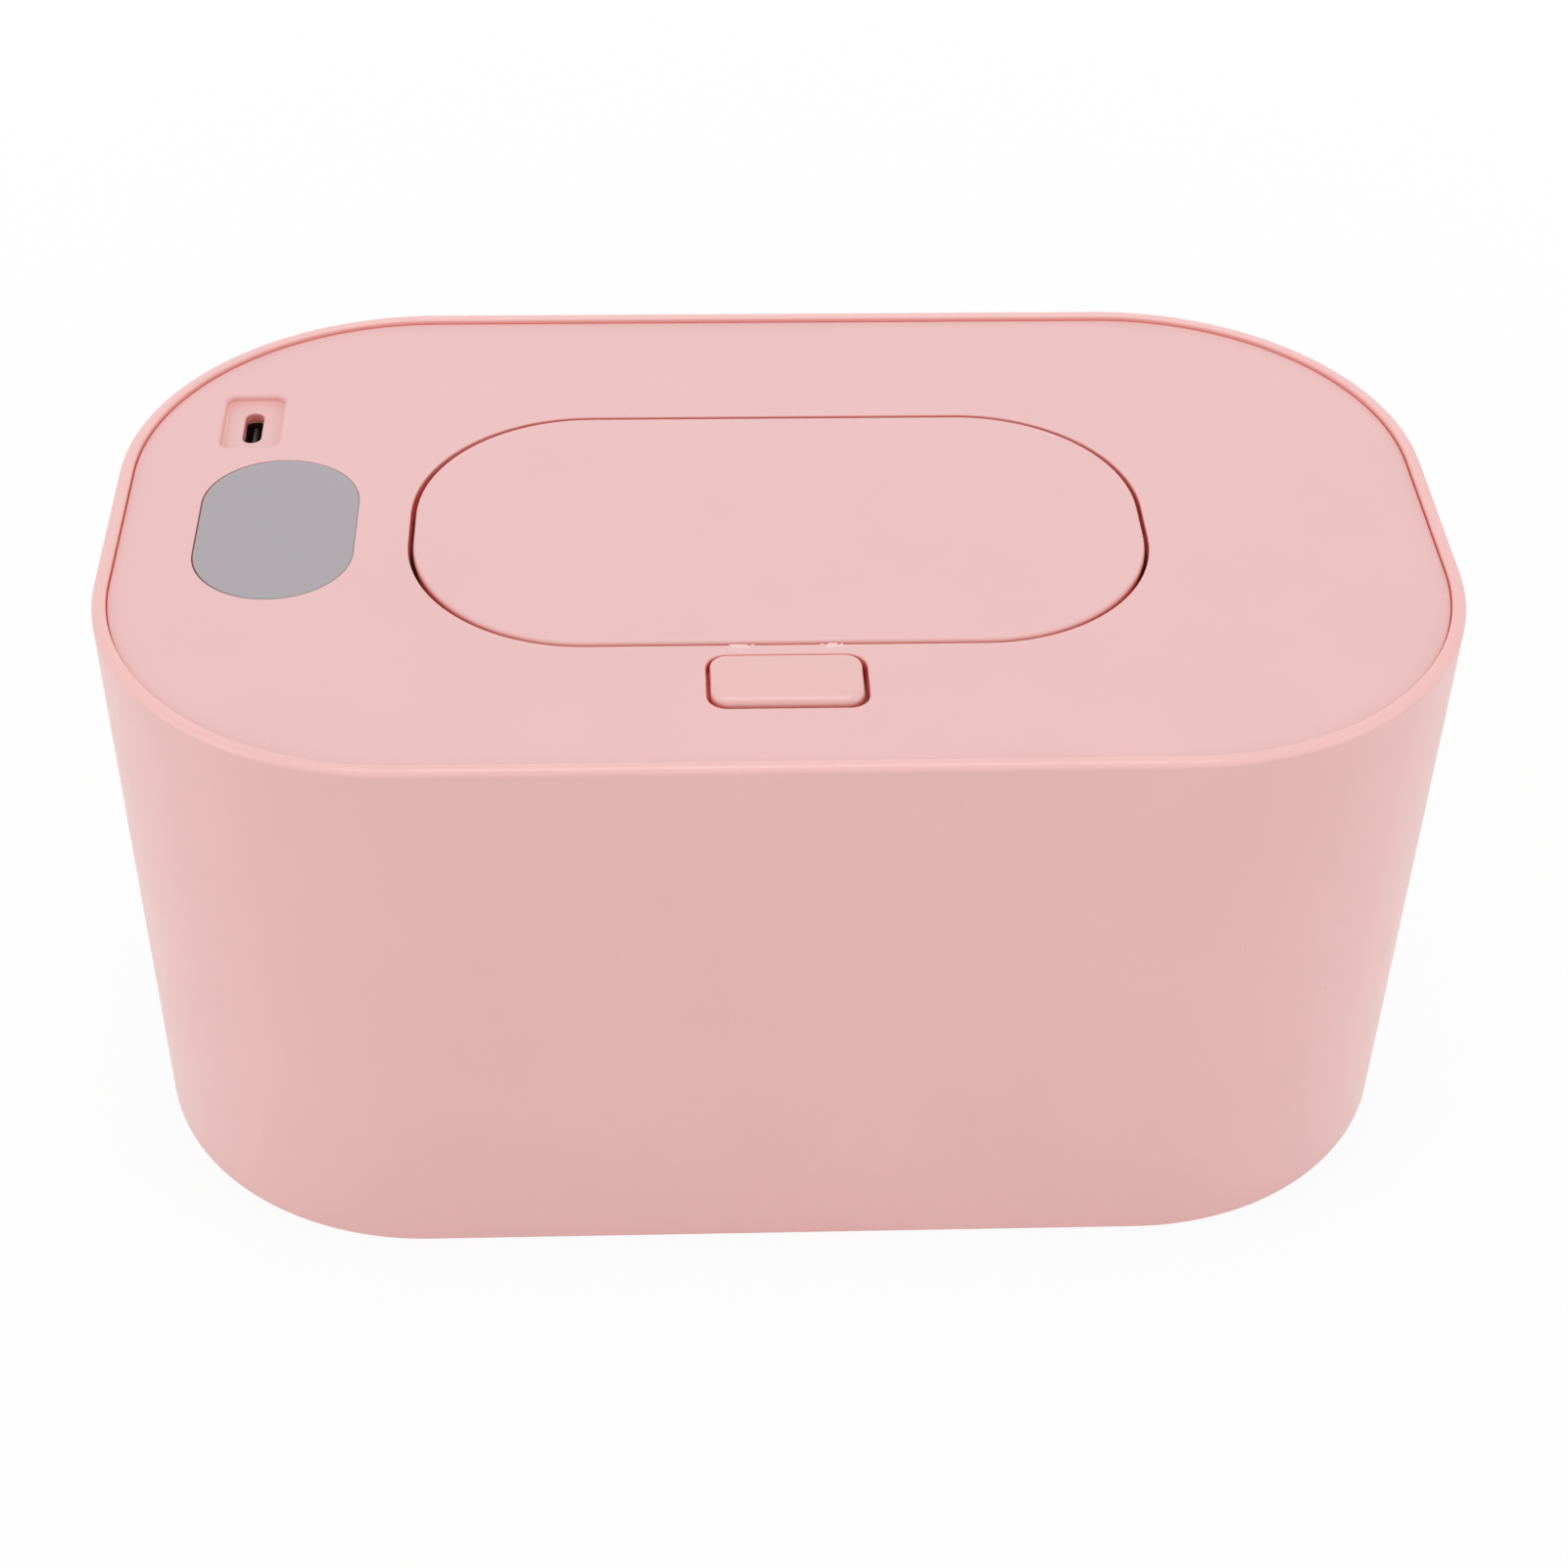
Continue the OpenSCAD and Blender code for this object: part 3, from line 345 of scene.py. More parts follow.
def dressed(name, node, material, body, slot, bevel=0.2, keep_below=None):
    """A copy of a CAD node with its edges rounded, cut off above a height if one is given."""
    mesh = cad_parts[node].data.copy()
    work = bmesh.new()
    work.from_mesh(mesh)
    bmesh.ops.remove_doubles(work, verts=work.verts, dist=2e-6)
    if keep_below is not None:
        geometry = work.verts[:] + work.edges[:] + work.faces[:]
        bmesh.ops.bisect_plane(work, geom=geometry, dist=1e-7, plane_co=(0, 0, keep_below * MM),
                               plane_no=(0, 0, 1), clear_outer=True)
    bmesh.ops.dissolve_limit(work, angle_limit=math.radians(0.8), verts=work.verts, edges=work.edges,
                             delimit={"NORMAL"})
    for face in work.faces:
        face.smooth = True
    for edge in work.edges:
        edge.smooth = not (len(edge.link_faces) == 2 and edge.calc_face_angle(0.0) > SHARP)
    work.to_mesh(mesh)
    work.free()
    obj = bpy.data.objects.new(name, mesh)
    bpy.context.scene.collection.objects.link(obj)
    place(obj, material, body, (node,))
    if bevel:
        rounding = obj.modifiers.new("rounding", "BEVEL")
        rounding.width = bevel * MM
        rounding.segments = 2
        rounding.limit_method = "ANGLE"
        rounding.angle_limit = math.radians(40)
        rounding.use_clamp_overlap = True
        rounding.harden_normals = False
    weigh(obj)
    return obj


def tube(name, path, radius, material, body, replaces, sides=12):
    """A round tube along a path in millimetres, with closed ends."""
    form = Form()
    angles = [2 * math.pi * k / sides for k in range(sides)]
    side = Vector((1, 0, 0.01))
    rings = []
    for i, point in enumerate(path):
        ahead = (path[min(i + 1, len(path) - 1)] - path[max(i - 1, 0)]).normalized()
        side = (side - ahead * side.dot(ahead)).normalized()
        up = ahead.cross(side)
        rings.append(form.loop([point + radius * (math.cos(angle) * side + math.sin(angle) * up)
                                for angle in angles]))
    form.join(rings)
    form.close(rings)
    return piece(name, form, material, body, replaces, sharp=math.radians(60))


# Materials


class Nodes:
    """Short names for building a material's node tree."""

    def __init__(self, name):
        self.material = bpy.data.materials.new(name)
        self.material.use_nodes = True
        self.tree = self.material.node_tree
        self.shader = self.tree.nodes["Principled BSDF"]
        coords = self.tree.nodes.new("ShaderNodeTexCoord")
        self.where = coords.outputs["Object"]

    def link(self, source, target):
        self.tree.links.new(source, target)

    def noise(self, scale, detail=3.0, roughness=0.5, stretch=None):
        """Noise fixed to the piece, stretched along its axes if asked."""
        node = self.tree.nodes.new("ShaderNodeTexNoise")
        node.inputs["Scale"].default_value = scale
        node.inputs["Detail"].default_value = detail
        node.inputs["Roughness"].default_value = roughness
        where = self.where
        if stretch:
            mapping = self.tree.nodes.new("ShaderNodeMapping")
            mapping.inputs["Scale"].default_value = stretch
            self.link(self.where, mapping.inputs["Vector"])
            where = mapping.outputs["Vector"]
        self.link(where, node.inputs["Vector"])
        return node.outputs["Fac"]

    def ramp(self, source, low, high, to_low, to_high):
        """A value's range brought to another range, and held at its ends."""
        node = self.tree.nodes.new("ShaderNodeMapRange")
        node.inputs["From Min"].default_value = low
        node.inputs["From Max"].default_value = high
        node.inputs["To Min"].default_value = to_low
        node.inputs["To Max"].default_value = to_high
        self.link(source, node.inputs["Value"])
        return node.outputs["Result"]

    def mix(self, share, first, second):
        """A blend of two colours, each a tuple or a socket."""
        node = self.tree.nodes.new("ShaderNodeMix")
        node.data_type = "RGBA"
        self.link(share, node.inputs["Factor"])
        for value, socket in ((first, node.inputs["A"]), (second, node.inputs["B"])):
            if isinstance(value, tuple):
                socket.default_value = (*value, 1.0)
            else:
                self.link(value, socket)
        return node.outputs["Result"]

    def painted_gap_shade(self, colour, reach, glow):
        """The colour darkened and turned redder where ambient occlusion finds gaps and grooves, a painted
        shade, with a painted red glow in the deepest gaps that stands in for light through the plastic.
        """
        shade = self.tree.nodes.new("ShaderNodeAmbientOcclusion")
        shade.samples = 6
        shade.inputs["Distance"].default_value = reach
        steps = self.tree.nodes.new("ShaderNodeValToRGB")
        ramp = steps.color_ramp
        ramp.elements[0].position, ramp.elements[1].position = PAINTED_SHADE_STEPS[0][0], PAINTED_SHADE_STEPS[-1][0]
        ramp.elements[0].color = (*PAINTED_SHADE_STEPS[0][1], 1.0)
        ramp.elements[1].color = (*PAINTED_SHADE_STEPS[-1][1], 1.0)
        for position, tone in PAINTED_SHADE_STEPS[1:-1]:
            ramp.elements.new(position).color = (*tone, 1.0)
        self.link(shade.outputs["AO"], steps.inputs["Fac"])
        product = self.tree.nodes.new("ShaderNodeMix")
        product.data_type = "RGBA"
        product.blend_type = "MULTIPLY"
        product.inputs["Factor"].default_value = 1.0
        self.link(colour, product.inputs["A"])
        self.link(steps.outputs["Color"], product.inputs["B"])
        # Painted glow: emission that rises where the occlusion is deepest, though the plastic is no lamp.
        self.link(self.ramp(shade.outputs["AO"], 0.1, 0.5, 1.0, 0.0), self.shader.inputs["Emission Strength"])
        self.shader.inputs["Emission Color"].default_value = (*glow, 1.0)
        return product.outputs["Result"]

    def math(self, operation, first, second=None):
        """A sum on one socket, or on a socket and a number or a second socket."""
        node = self.tree.nodes.new("ShaderNodeMath")
        node.operation = operation
        self.link(first, node.inputs[0])
        if isinstance(second, float):
            node.inputs[1].default_value = second
        elif second is not None:
            self.link(second, node.inputs[1])
        return node.outputs["Value"]

    def rubbed(self, colour):
        """Pale rub marks on the strip in front of the lid, at the ends of the latch's window."""
        place_at = self.tree.nodes.new("ShaderNodeSeparateXYZ")
        self.link(self.where, place_at.inputs["Vector"])
        across = self.math("ABSOLUTE", place_at.outputs["X"])
        start, end = RUB_SPAN
        fade_in = 0.0006
        fade_out = 0.0012
        side = self.math("MULTIPLY", self.ramp(across, start, start + fade_in, 0.0, 1.0),
                         self.ramp(across, end - fade_out, end, 1.0, 0.0))
        off = self.math("ABSOLUTE", self.math("SUBTRACT", place_at.outputs["Y"], RUB_Y))
        along = self.math("MULTIPLY", side, self.ramp(off, *RUB_FADE, 1.0, 0.0))
        broken = self.ramp(self.noise(RUB_SCALE, 3.0), 0.42, 0.56, 0.0, 0.85)
        mark = self.math("MULTIPLY", along, broken)
        return self.mix(mark, colour, RUB_TONE)

    def bump(self, source, strength, distance, onto=None):
        """Small relief, laid onto another relief if there is one."""
        node = self.tree.nodes.new("ShaderNodeBump")
        node.inputs["Strength"].default_value = strength
        node.inputs["Distance"].default_value = distance
        self.link(source, node.inputs["Height"])
        if onto:
            self.link(onto, node.inputs["Normal"])
        return node.outputs["Normal"]

    def set(self, **values):
        """Constant values on the shader's own sockets."""
        for name, value in values.items():
            self.shader.inputs[name.replace("_", " ")].default_value = value


def linear(red, green, blue):
    """A colour written as a screen shows it, 0 to 255, as the shader wants it."""
    shares = (level / 255 for level in (red, green, blue))
    return tuple(((share + 0.055) / 1.055) ** 2.4 if share > 0.04 else share / 12.92 for share in shares)


def tinted(colour, factor):
    """The colour made lighter or darker by a factor."""
    return tuple(min(1.0, c * factor) for c in colour)


def moulded(name, colour, roughness, grain=0.02, wave=0.0, soft=0.0, smudge=0.03, reach=PAINTED_SHADE_REACH,
            glow=PAINTED_GAP_GLOW, marked=False, **values):
    """Moulded plastic or rubber: fine grain, faint mottling and specks, and uneven gloss; with soft set, also
    subsurface light, painted shade and a painted red glow in gaps and grooves.
    """
    nodes = Nodes(name)
    mottle = nodes.ramp(nodes.noise(MOTTLE_SCALE, 4.0), 0.3, 0.7, 0.0, 1.0)
    cloud = nodes.mix(mottle, tinted(colour, 1 - smudge), tinted(colour, 1 + smudge))
    speck = nodes.ramp(nodes.noise(SPECK_SCALE, 1.0), 0.815, 0.84, 0.0, 0.5)
    cloud = nodes.mix(speck, cloud, tinted(colour, SPECK_TONE))
    # With soft set, the colour also gets painted shade and a painted red glow in gaps and grooves.
    if soft:
        cloud = nodes.painted_gap_shade(cloud, reach, glow)
    if marked:
        cloud = nodes.rubbed(cloud)
    nodes.link(cloud, nodes.shader.inputs["Base Color"])
    worn = nodes.ramp(nodes.noise(WORN_SCALE, 5.0), 0.25, 0.75, roughness - 0.03, roughness + 0.06)
    nodes.link(worn, nodes.shader.inputs["Roughness"])
    normal = nodes.bump(nodes.noise(GRAIN_SCALE, 2.0), grain, GRAIN_DEPTH)
    if wave:
        normal = nodes.bump(nodes.noise(WAVE_SCALE, 1.0), wave, WAVE_DEPTH, normal)
    nodes.link(normal, nodes.shader.inputs["Normal"])
    if soft:
        nodes.set(Subsurface_Weight=soft, Subsurface_Radius=(1.0, 0.45, 0.35), Subsurface_Scale=0.002)
    nodes.set(**values)
    return nodes.material


def metal(name, colour, roughness, stretch=(1.0, 1.0, 1.0), scale=900.0):
    """Drawn or rolled metal with fine lines and uneven gloss."""
    nodes = Nodes(name)
    lines = nodes.noise(scale, 3.0, 0.6, stretch)
    nodes.link(nodes.mix(lines, tinted(colour, 0.9), tinted(colour, 1.08)), nodes.shader.inputs["Base Color"])
    worn = nodes.ramp(lines, 0.3, 0.7, roughness - 0.08, roughness + 0.1)
    nodes.link(worn, nodes.shader.inputs["Roughness"])
    nodes.link(nodes.bump(lines, 0.15, 0.00003), nodes.shader.inputs["Normal"])
    nodes.set(Metallic=1.0)
    return nodes.material


def film_material():
    """Amber film with the heater's printed track under it."""
    nodes = Nodes("amber_film")
    wave = nodes.tree.nodes.new("ShaderNodeTexWave")
    wave.wave_type = "BANDS"
    wave.bands_direction = "Y"
    wave.inputs["Scale"].default_value = 55.0
    wave.inputs["Distortion"].default_value = 1.5
    nodes.link(nodes.where, wave.inputs["Vector"])
    track = nodes.ramp(wave.outputs["Fac"], 0.45, 0.55, 0.0, 1.0)
    nodes.link(nodes.mix(track, (0.5, 0.2, 0.02), (0.32, 0.12, 0.02)), nodes.shader.inputs["Base Color"])
    nodes.link(nodes.bump(track, 0.3, 0.0001), nodes.shader.inputs["Normal"])
    nodes.link(nodes.ramp(nodes.noise(300.0), 0.3, 0.7, 0.22, 0.34), nodes.shader.inputs["Roughness"])
    return nodes.material


def felt_material():
    """Pressed fibre pad."""
    nodes = Nodes("felt")
    fibres = nodes.noise(1500.0, 6.0, 0.7, (1.0, 3.0, 1.0))
    nodes.link(nodes.mix(fibres, (0.62, 0.61, 0.57), (0.86, 0.85, 0.8)), nodes.shader.inputs["Base Color"])
    nodes.link(nodes.bump(fibres, 0.6, 0.0002), nodes.shader.inputs["Normal"])
    nodes.link(nodes.ramp(fibres, 0.3, 0.7, 0.85, 0.98), nodes.shader.inputs["Roughness"])
    return nodes.material


def board_material():
    """Green solder mask with faint copper tracks under it."""
    nodes = Nodes("solder_mask")
    brick = nodes.tree.nodes.new("ShaderNodeTexBrick")
    brick.inputs["Scale"].default_value = 160.0
    brick.inputs["Mortar Size"].default_value = 0.06
    nodes.link(nodes.where, brick.inputs["Vector"])
    nodes.link(nodes.mix(brick.outputs["Fac"], (0.012, 0.14, 0.05), (0.03, 0.24, 0.09)),
               nodes.shader.inputs["Base Color"])
    nodes.link(nodes.bump(brick.outputs["Fac"], 0.2, 0.00004), nodes.shader.inputs["Normal"])
    nodes.link(nodes.ramp(nodes.noise(200.0), 0.3, 0.7, 0.25, 0.4), nodes.shader.inputs["Roughness"])
    return nodes.material


# Pinks with soft set carry painted shade and a painted red glow in their gaps and grooves; the reach sets how
# far the painted shade spreads.
CASE_PINK = linear(238, 190, 187)
COVER_PINK = linear(231, 188, 187)
SHELL_PINK = moulded("case_pink", CASE_PINK, 0.31, grain=0.03, wave=0.02, soft=0.12, smudge=0.012,
                     Specular_IOR_Level=0.45)
TOP_PINK = moulded("top_pink", COVER_PINK, 0.44, grain=0.05, wave=0.015, soft=0.1, smudge=0.014,
                   marked=True, Specular_IOR_Level=0.42)
# The slot's walls: painted shade that reaches far, so they read darkest and reddest.
SLOT_PAINTED_SHADE = moulded("slot_painted_shade", COVER_PINK, 0.5, grain=0.05, soft=0.1, smudge=0.014, reach=0.009)
BUTTON_PINK = moulded("button_pink", linear(231, 186, 183), 0.31, grain=0.03, soft=0.12, smudge=0.012,
                      reach=0.0019)
BURR_PINK = moulded("burr_pink", linear(240, 203, 198), 0.5, grain=0.2, smudge=0.02)
# Inner parts: painted shade with a stronger painted red glow.
INNER_PINK = moulded("inner_pink", linear(238, 200, 197), 0.5, grain=0.05, soft=0.05, smudge=0.015,
                     reach=0.004, glow=(0.24, 0.026, 0.022))
WINDOW_GREY = moulded("window_grey", linear(164, 158, 162), 0.34, grain=0.015, smudge=0.01,
                      Specular_IOR_Level=0.5)
FOOT_RUBBER = moulded("foot_rubber", linear(196, 188, 188), 0.75, grain=0.3, smudge=0.03)
SEAL_RUBBER = moulded("seal_rubber", linear(244, 226, 222), 0.55, grain=0.1, smudge=0.02)
WHITE_PLASTIC = moulded("white_plastic", linear(238, 238, 234), 0.42, grain=0.04, smudge=0.02)
BLACK_PLASTIC = moulded("black_plastic", (0.014, 0.014, 0.016), 0.4, grain=0.06, smudge=0.1)
CERAMIC = moulded("ceramic", linear(226, 220, 204), 0.6, grain=0.2, smudge=0.03)
LEAD = moulded("lead_rubber", (0.4, 0.03, 0.03), 0.5, grain=0.05, smudge=0.05)
STEEL = metal("drawn_steel", (0.62, 0.63, 0.65), 0.26)
# Dark, reddish steel: the base colour paints in the reflection of the pink walls round the socket.
SOCKET_STEEL_PAINTED_REFLECTION = metal("socket_steel_painted_reflection", (0.36, 0.2, 0.18), 0.32)
ALUMINIUM = metal("brushed_aluminium", (0.82, 0.83, 0.84), 0.32, (1.0, 14.0, 1.0), 700.0)
FILM = film_material()
FELT = felt_material()
BOARD = board_material()


# Pieces of the base


def make_tub():
    """The outer body, from its rounded bottom up over the rim and down inside to the floor."""
    form = Form()
    bottom = [(lean(z) + inset, z) for inset, z in round_under(BOTTOM_ROUND, TUB_Z)]
    wall_low = TUB_Z + BOTTOM_ROUND
    wall_high = RIM_Z - RIM_ROUND
    heights = (wall_low + (wall_high - wall_low) * k / WALL_RINGS for k in range(1, WALL_RINGS + 1))
    wall = [(lean(z), z) for z in heights]
    rim = round_over(RIM_ROUND, RIM_Z)[1:]
    inner_rim = [(WALL + RIM_IN - inset, z) for inset, z in reversed(round_over(RIM_INNER_ROUND, RIM_Z))]
    floor_z = TUB_Z + FLOOR
    inner_heights = (RIM_Z - 8, SKIRT_Z, RIM_Z / 2, floor_z + 3)
    inner_wall = [(WALL + lean(z), z) for z in inner_heights]
    inner_floor = [(WALL + lean(floor_z) + inset, z)
                   for inset, z in reversed(round_under(FLOOR_ROUND, floor_z))][1:]
    rings = form.sweep(bottom + wall + rim + inner_rim + inner_wall + inner_floor, BODY_W, BODY_D, BODY_R)
    form.close(rings)
    add_ribs(form)
    return piece("tub_shell", form, SHELL_PINK, "base", ("tub",))


def add_ribs(form):
    """Upright ribs that grow out of the leaning walls, on which the cover's skirt stands."""
    reach = 2.4
    past_corner_x = 12
    past_corner_y = 6
    inner_x = BODY_W / 2 - WALL - lean(SKIRT_Z) - reach
    inner_y = BODY_D / 2 - WALL - lean(SKIRT_Z) - reach
    long_x = BODY_W / 2 - BODY_R - past_corner_x
    end_y = BODY_D / 2 - BODY_R - past_corner_y
    for sign_x in (-1, 1):
        for sign_y in (-1, 1):
            add_rib(form, sign_x * long_x, None, sign_y, inner_y, BODY_D / 2)
            add_rib(form, None, sign_y * end_y, sign_x, inner_x, BODY_W / 2)


def add_rib(form, x, y, side, inner, wall_at):
    """One rib on a long wall, where x is given, or on an end wall, where y is."""
    width = 3.0
    corner = 0.5
    top_round = 0.3
    sunk = 0.5
    rings = []
    heights = [TUB_Z + FLOOR - sunk] + [SKIRT_Z * k / 6 for k in range(1, 6)]
    profile = [(0, z) for z in heights] + round_over(top_round, SKIRT_Z, 3)
    for inset, z in profile:
        outer = wall_at - lean(z) - WALL / 2
        depth = outer - inner
        middle = side * (outer + inner) / 2
        if y is None:
            loop = outline(width, depth, corner, x, middle, inset, 4)
        else:
            loop = outline(depth, width, corner, middle, y, inset, 4)
        rings.append(form.ring(loop, z))
    form.join(rings)
    form.close(rings)


def make_feet():
    """Four round pads under the tub."""
    low, high = (Vector(corner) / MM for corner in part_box("rubber_feet"))
    radius = 5.0
    edge = 0.35
    form = Form()
    for x in (low.x + radius, high.x - radius):
        for y in (low.y + radius, high.y - radius):
            size = 2 * radius
            profile = round_under(edge, low.z, 4) + [(0, high.z)]
            rings = form.sweep(profile, size, size, radius, x, y, 10)
            form.close(rings)
    return piece("foot_pads", form, FOOT_RUBBER, "base", ("rubber_feet",))


# Pieces of the cover


def hole(form, profile, width, depth, radius, x, y, steps=STEPS):
    """A hole whose rounded edge opens outwards; gives its top and bottom rings."""
    rings = form.sweep([(-inset, z) for inset, z in reversed(profile)], width, depth, radius, x, y, steps)
    return rings[0], rings[-1]


def make_top_plate():
    """The flat top of the cover, with a rounded edge round it and round each opening."""
    form = Form()
    low = PLATE_Z - SKIN
    edge = form.sweep([(0, low)] + round_over(PLATE_ROUND, PLATE_Z), PLATE_W, PLATE_D, PLATE_R)
    tops = []
    lows = []
    openings = (
        (LID_MOUTH_ROUND, LID_W + 2 * LID_GAP + LID_EASE, LID_D + 2 * LID_GAP + LID_EASE,
         LID_R + LID_GAP, -LID_EASE / 2, LID_Y - LID_EASE / 2, STEPS),
        (MOUTH_ROUND, MOUTH_W, BUTTON_D + BUTTON_GAP, BUTTON_R + BUTTON_GAP, MOUTH_X,
         BUTTON_Y - MOUTH_BACK, 12),
        (LENS_MOUTH_ROUND, LENS_W + 2 * LENS_GAP, LENS_D + 2 * LENS_GAP, LENS_W / 2, LENS_X, LENS_Y,
         STEPS),
    )
    for radius, width, depth, corner, x, y, steps in openings:
        profile = [(0, low)] + round_over(radius, PLATE_Z, 5)
        top, bottom = hole(form, profile, width, depth, corner, x, y, steps)
        tops.append(top)
        lows.append(bottom)
    top, bottom = add_recess(form, low)
    tops.append(top)
    lows.append(bottom)
    form.flat(edge[-1], tops)
    form.flat(edge[0], lows)
    return piece("cover_plate", form, TOP_PINK, "cover", ("top_cover",))


def add_recess(form, low):
    """The charging recess, softly rounded at its mouth and floor, with the socket's slot through it."""
    skin = 0.04
    steps = 12
    around = 0.7
    mouth_round = 0.8
    floor_round = 0.35
    slot_round = 0.2
    floor_z = PLATE_Z - RECESS_H + skin
    under_z = PLATE_Z - RECESS_H - RECESS_FLOOR
    inner = [(skin - inset, z) for inset, z in reversed(round_over(mouth_round, PLATE_Z, 7))]
    inner += [(skin + inset, z) for inset, z in reversed(round_under(floor_round, floor_z, 5))]
    walls = form.sweep(inner, RECESS_W, RECESS_D, RECESS_R, PORT_X, PORT_Y, steps)
    outer = form.sweep([(-around, low), (-around, under_z)], RECESS_W, RECESS_D, RECESS_R,
                       PORT_X, PORT_Y, steps)
    slot_w = PORT_W - 2 * SOCKET_WALL + 2 * SLOT_GAP - 2 * skin
    slot_d = PORT_D - 2 * SOCKET_WALL + 2 * SLOT_GAP - 2 * skin
    profile = [(0, under_z)] + round_over(slot_round, floor_z, 4)
    top, bottom = hole(form, profile, slot_w, slot_d, slot_w / 2, PORT_X, PORT_Y, steps)
    make_slot_shade_skin(slot_w, slot_d, under_z, floor_z - slot_round - 0.02)
    form.flat(walls[-1], [top])
    form.flat(outer[-1], [bottom])
    return walls[0], outer[0]


def make_slot_shade_skin(width, depth, low, high):
    """A thin skin on the inner face of the slot that carries painted shade, so the plastic looks darkest
    there.
    """
    form = Form()
    skin = 0.03
    rings = form.sweep([(0, low), (0, high), (skin, high), (skin, low)], width, depth, width / 2,
                       PORT_X, PORT_Y, 12)
    form.skin(rings[-1], rings[0])
    return piece("slot_shade_skin", form, SLOT_PAINTED_SHADE, "cover", ("top_cover",))


def make_burrs():
    """Worn burrs on the plate's edge in front of the lid, beside the way of the latch."""
    form = Form()
    edge = LID_LOW.y - LID_GAP - LID_EASE
    high = PLATE_Z - 0.02
    levels = ((1.0, high - 0.24), (1.15, high - 0.14), (1.0, high - 0.05), (0.75, high))
    for x, length, reach in BURRS:
        rings = []
        for share, z in levels:
            loop = outline(length * share, 2 * reach * share, reach * share, x, edge, 0, 4)
            ragged = [(px + 0.1 * math.sin(9 * px + 5 * x), py + 0.06 * math.sin(13 * px + x))
                      for px, py in loop]
            rings.append(form.ring(ragged, z))
        form.join(rings)
        form.close(rings)
    return piece("edge_burrs", form, BURR_PINK, "cover", ("top_cover",))


def make_window():
    """The window's pane, which lies against the back and the inner side of its opening."""
    form = Form()
    trim = 0.06
    edge = 0.12
    top = PLATE_Z - 0.02
    side = [(trim, LENS_LOW.z), (trim, PLATE_Z - 0.14)]
    side += [(trim + inset, z) for inset, z in round_over(edge, top, 4)]
    rings = form.sweep(side, LENS_W, LENS_D, LENS_W / 2, LENS_X + trim, LENS_Y + trim)
    form.cap(rings[0])
    form.crown(rings[-1], 0.0, 4)
    return piece("window_pane", form, WINDOW_GREY, "cover", ("display_window",))


def make_socket():
    """The socket's drawn steel shell with a rolled mouth, and its base."""
    form = Form()
    wall = 0.28
    mouth = 0.12
    base = 1.2
    radius = PORT_W / 2
    outer = [(0, PORT_LOW_Z)] + round_over(mouth, PORT_TOP, 4)
    inner = [(wall - inset, z) for inset, z in reversed(round_over(mouth, PORT_TOP, 4))]
    floor_z = PORT_LOW_Z + base
    rings = form.sweep(outer + inner + [(wall, floor_z)], PORT_W, PORT_D, radius, PORT_X, PORT_Y, 12)
    form.close(rings)
    return piece("socket_shell", form, SOCKET_STEEL_PAINTED_REFLECTION, "cover", ("charging_socket",))


def make_tongue():
    """The socket's tongue on its foot."""
    low, high = (Vector(corner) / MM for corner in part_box("socket_tongue"))
    form = Form()
    thick = 0.7
    length = 6.6
    edge = 0.15
    foot_z = low.z + 1.1
    for profile, width, depth in (
            ([(0, low.z), (0, foot_z), (edge, low.z + 1.2)], high.x - low.x, high.y - low.y),
            ([(0, foot_z)] + round_over(edge, high.z, 3), thick, length)):
        rings = form.sweep(profile, width, depth, 0.3, PORT_X, PORT_Y, 4)
        form.close(rings)
    return piece("tongue", form, BLACK_PLASTIC, "cover", ("socket_tongue",))


def make_contacts():
    """A row of gilt contacts on each side of the tongue."""
    low, high = (Vector(corner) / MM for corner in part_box("socket_tongue"))
    form = Form()
    count = 12
    pitch = 0.5
    off = 0.33
    thick = 0.1
    width = 0.26
    for side in (-1, 1):
        for k in range(count):
            y = PORT_Y + (k - (count - 1) / 2) * pitch
            x = PORT_X + side * off
            rings = form.sweep([(0, low.z + 1.3), (0, high.z - 0.5)], thick, width, 0.02, x, y, 1)
            form.close(rings)
    gold = metal("contact_gold", (0.85, 0.62, 0.25), 0.3)
    return piece("contacts", form, gold, "cover", ())


# Pieces of the lid and the release


def shoulder(form, width, depth, radius, middle, reaches, top, drop, steps, turns):
    """Rings of a rounded edge that reaches in by its own length at the sides, front and back."""
    side, front, back = reaches
    rings = []
    for k in range(turns + 1):
        angle = math.pi / 2 * k / turns
        share = 1 - math.cos(angle)
        wide = width - 2 * side * share
        deep = depth - (front + back) * share
        corner = radius - side * share
        loop = outline(wide, deep, corner, middle[0], middle[1] + (front - back) * share / 2, 0, steps)
        rings.append(form.ring(loop, top - drop * (1 - math.sin(angle))))
    return form.join(rings)


def make_lid_top():
    """The lid's flat top with its rounded edge, which is softest along the front."""
    form = Form()
    low = PLATE_Z - LID_T
    width = LID_W - 0.04
    middle = (0, LID_Y + LID_BACK / 2)
    reaches = (0.45, 1.0, 0.4)
    drop = 0.9
    base = form.ring(outline(LID_W, LID_D, LID_R, 0, LID_Y, LID_LEAN), low)
    rings = shoulder(form, width, LID_D - LID_BACK, LID_R, middle, reaches, PLATE_Z, drop, STEPS, 8)
    form.skin(base, rings[0])
    form.cap(base)
    form.crown(rings[-1], 0.0, 6)
    return piece("lid_top", form, TOP_PINK, "lid", ("flip_lid",))


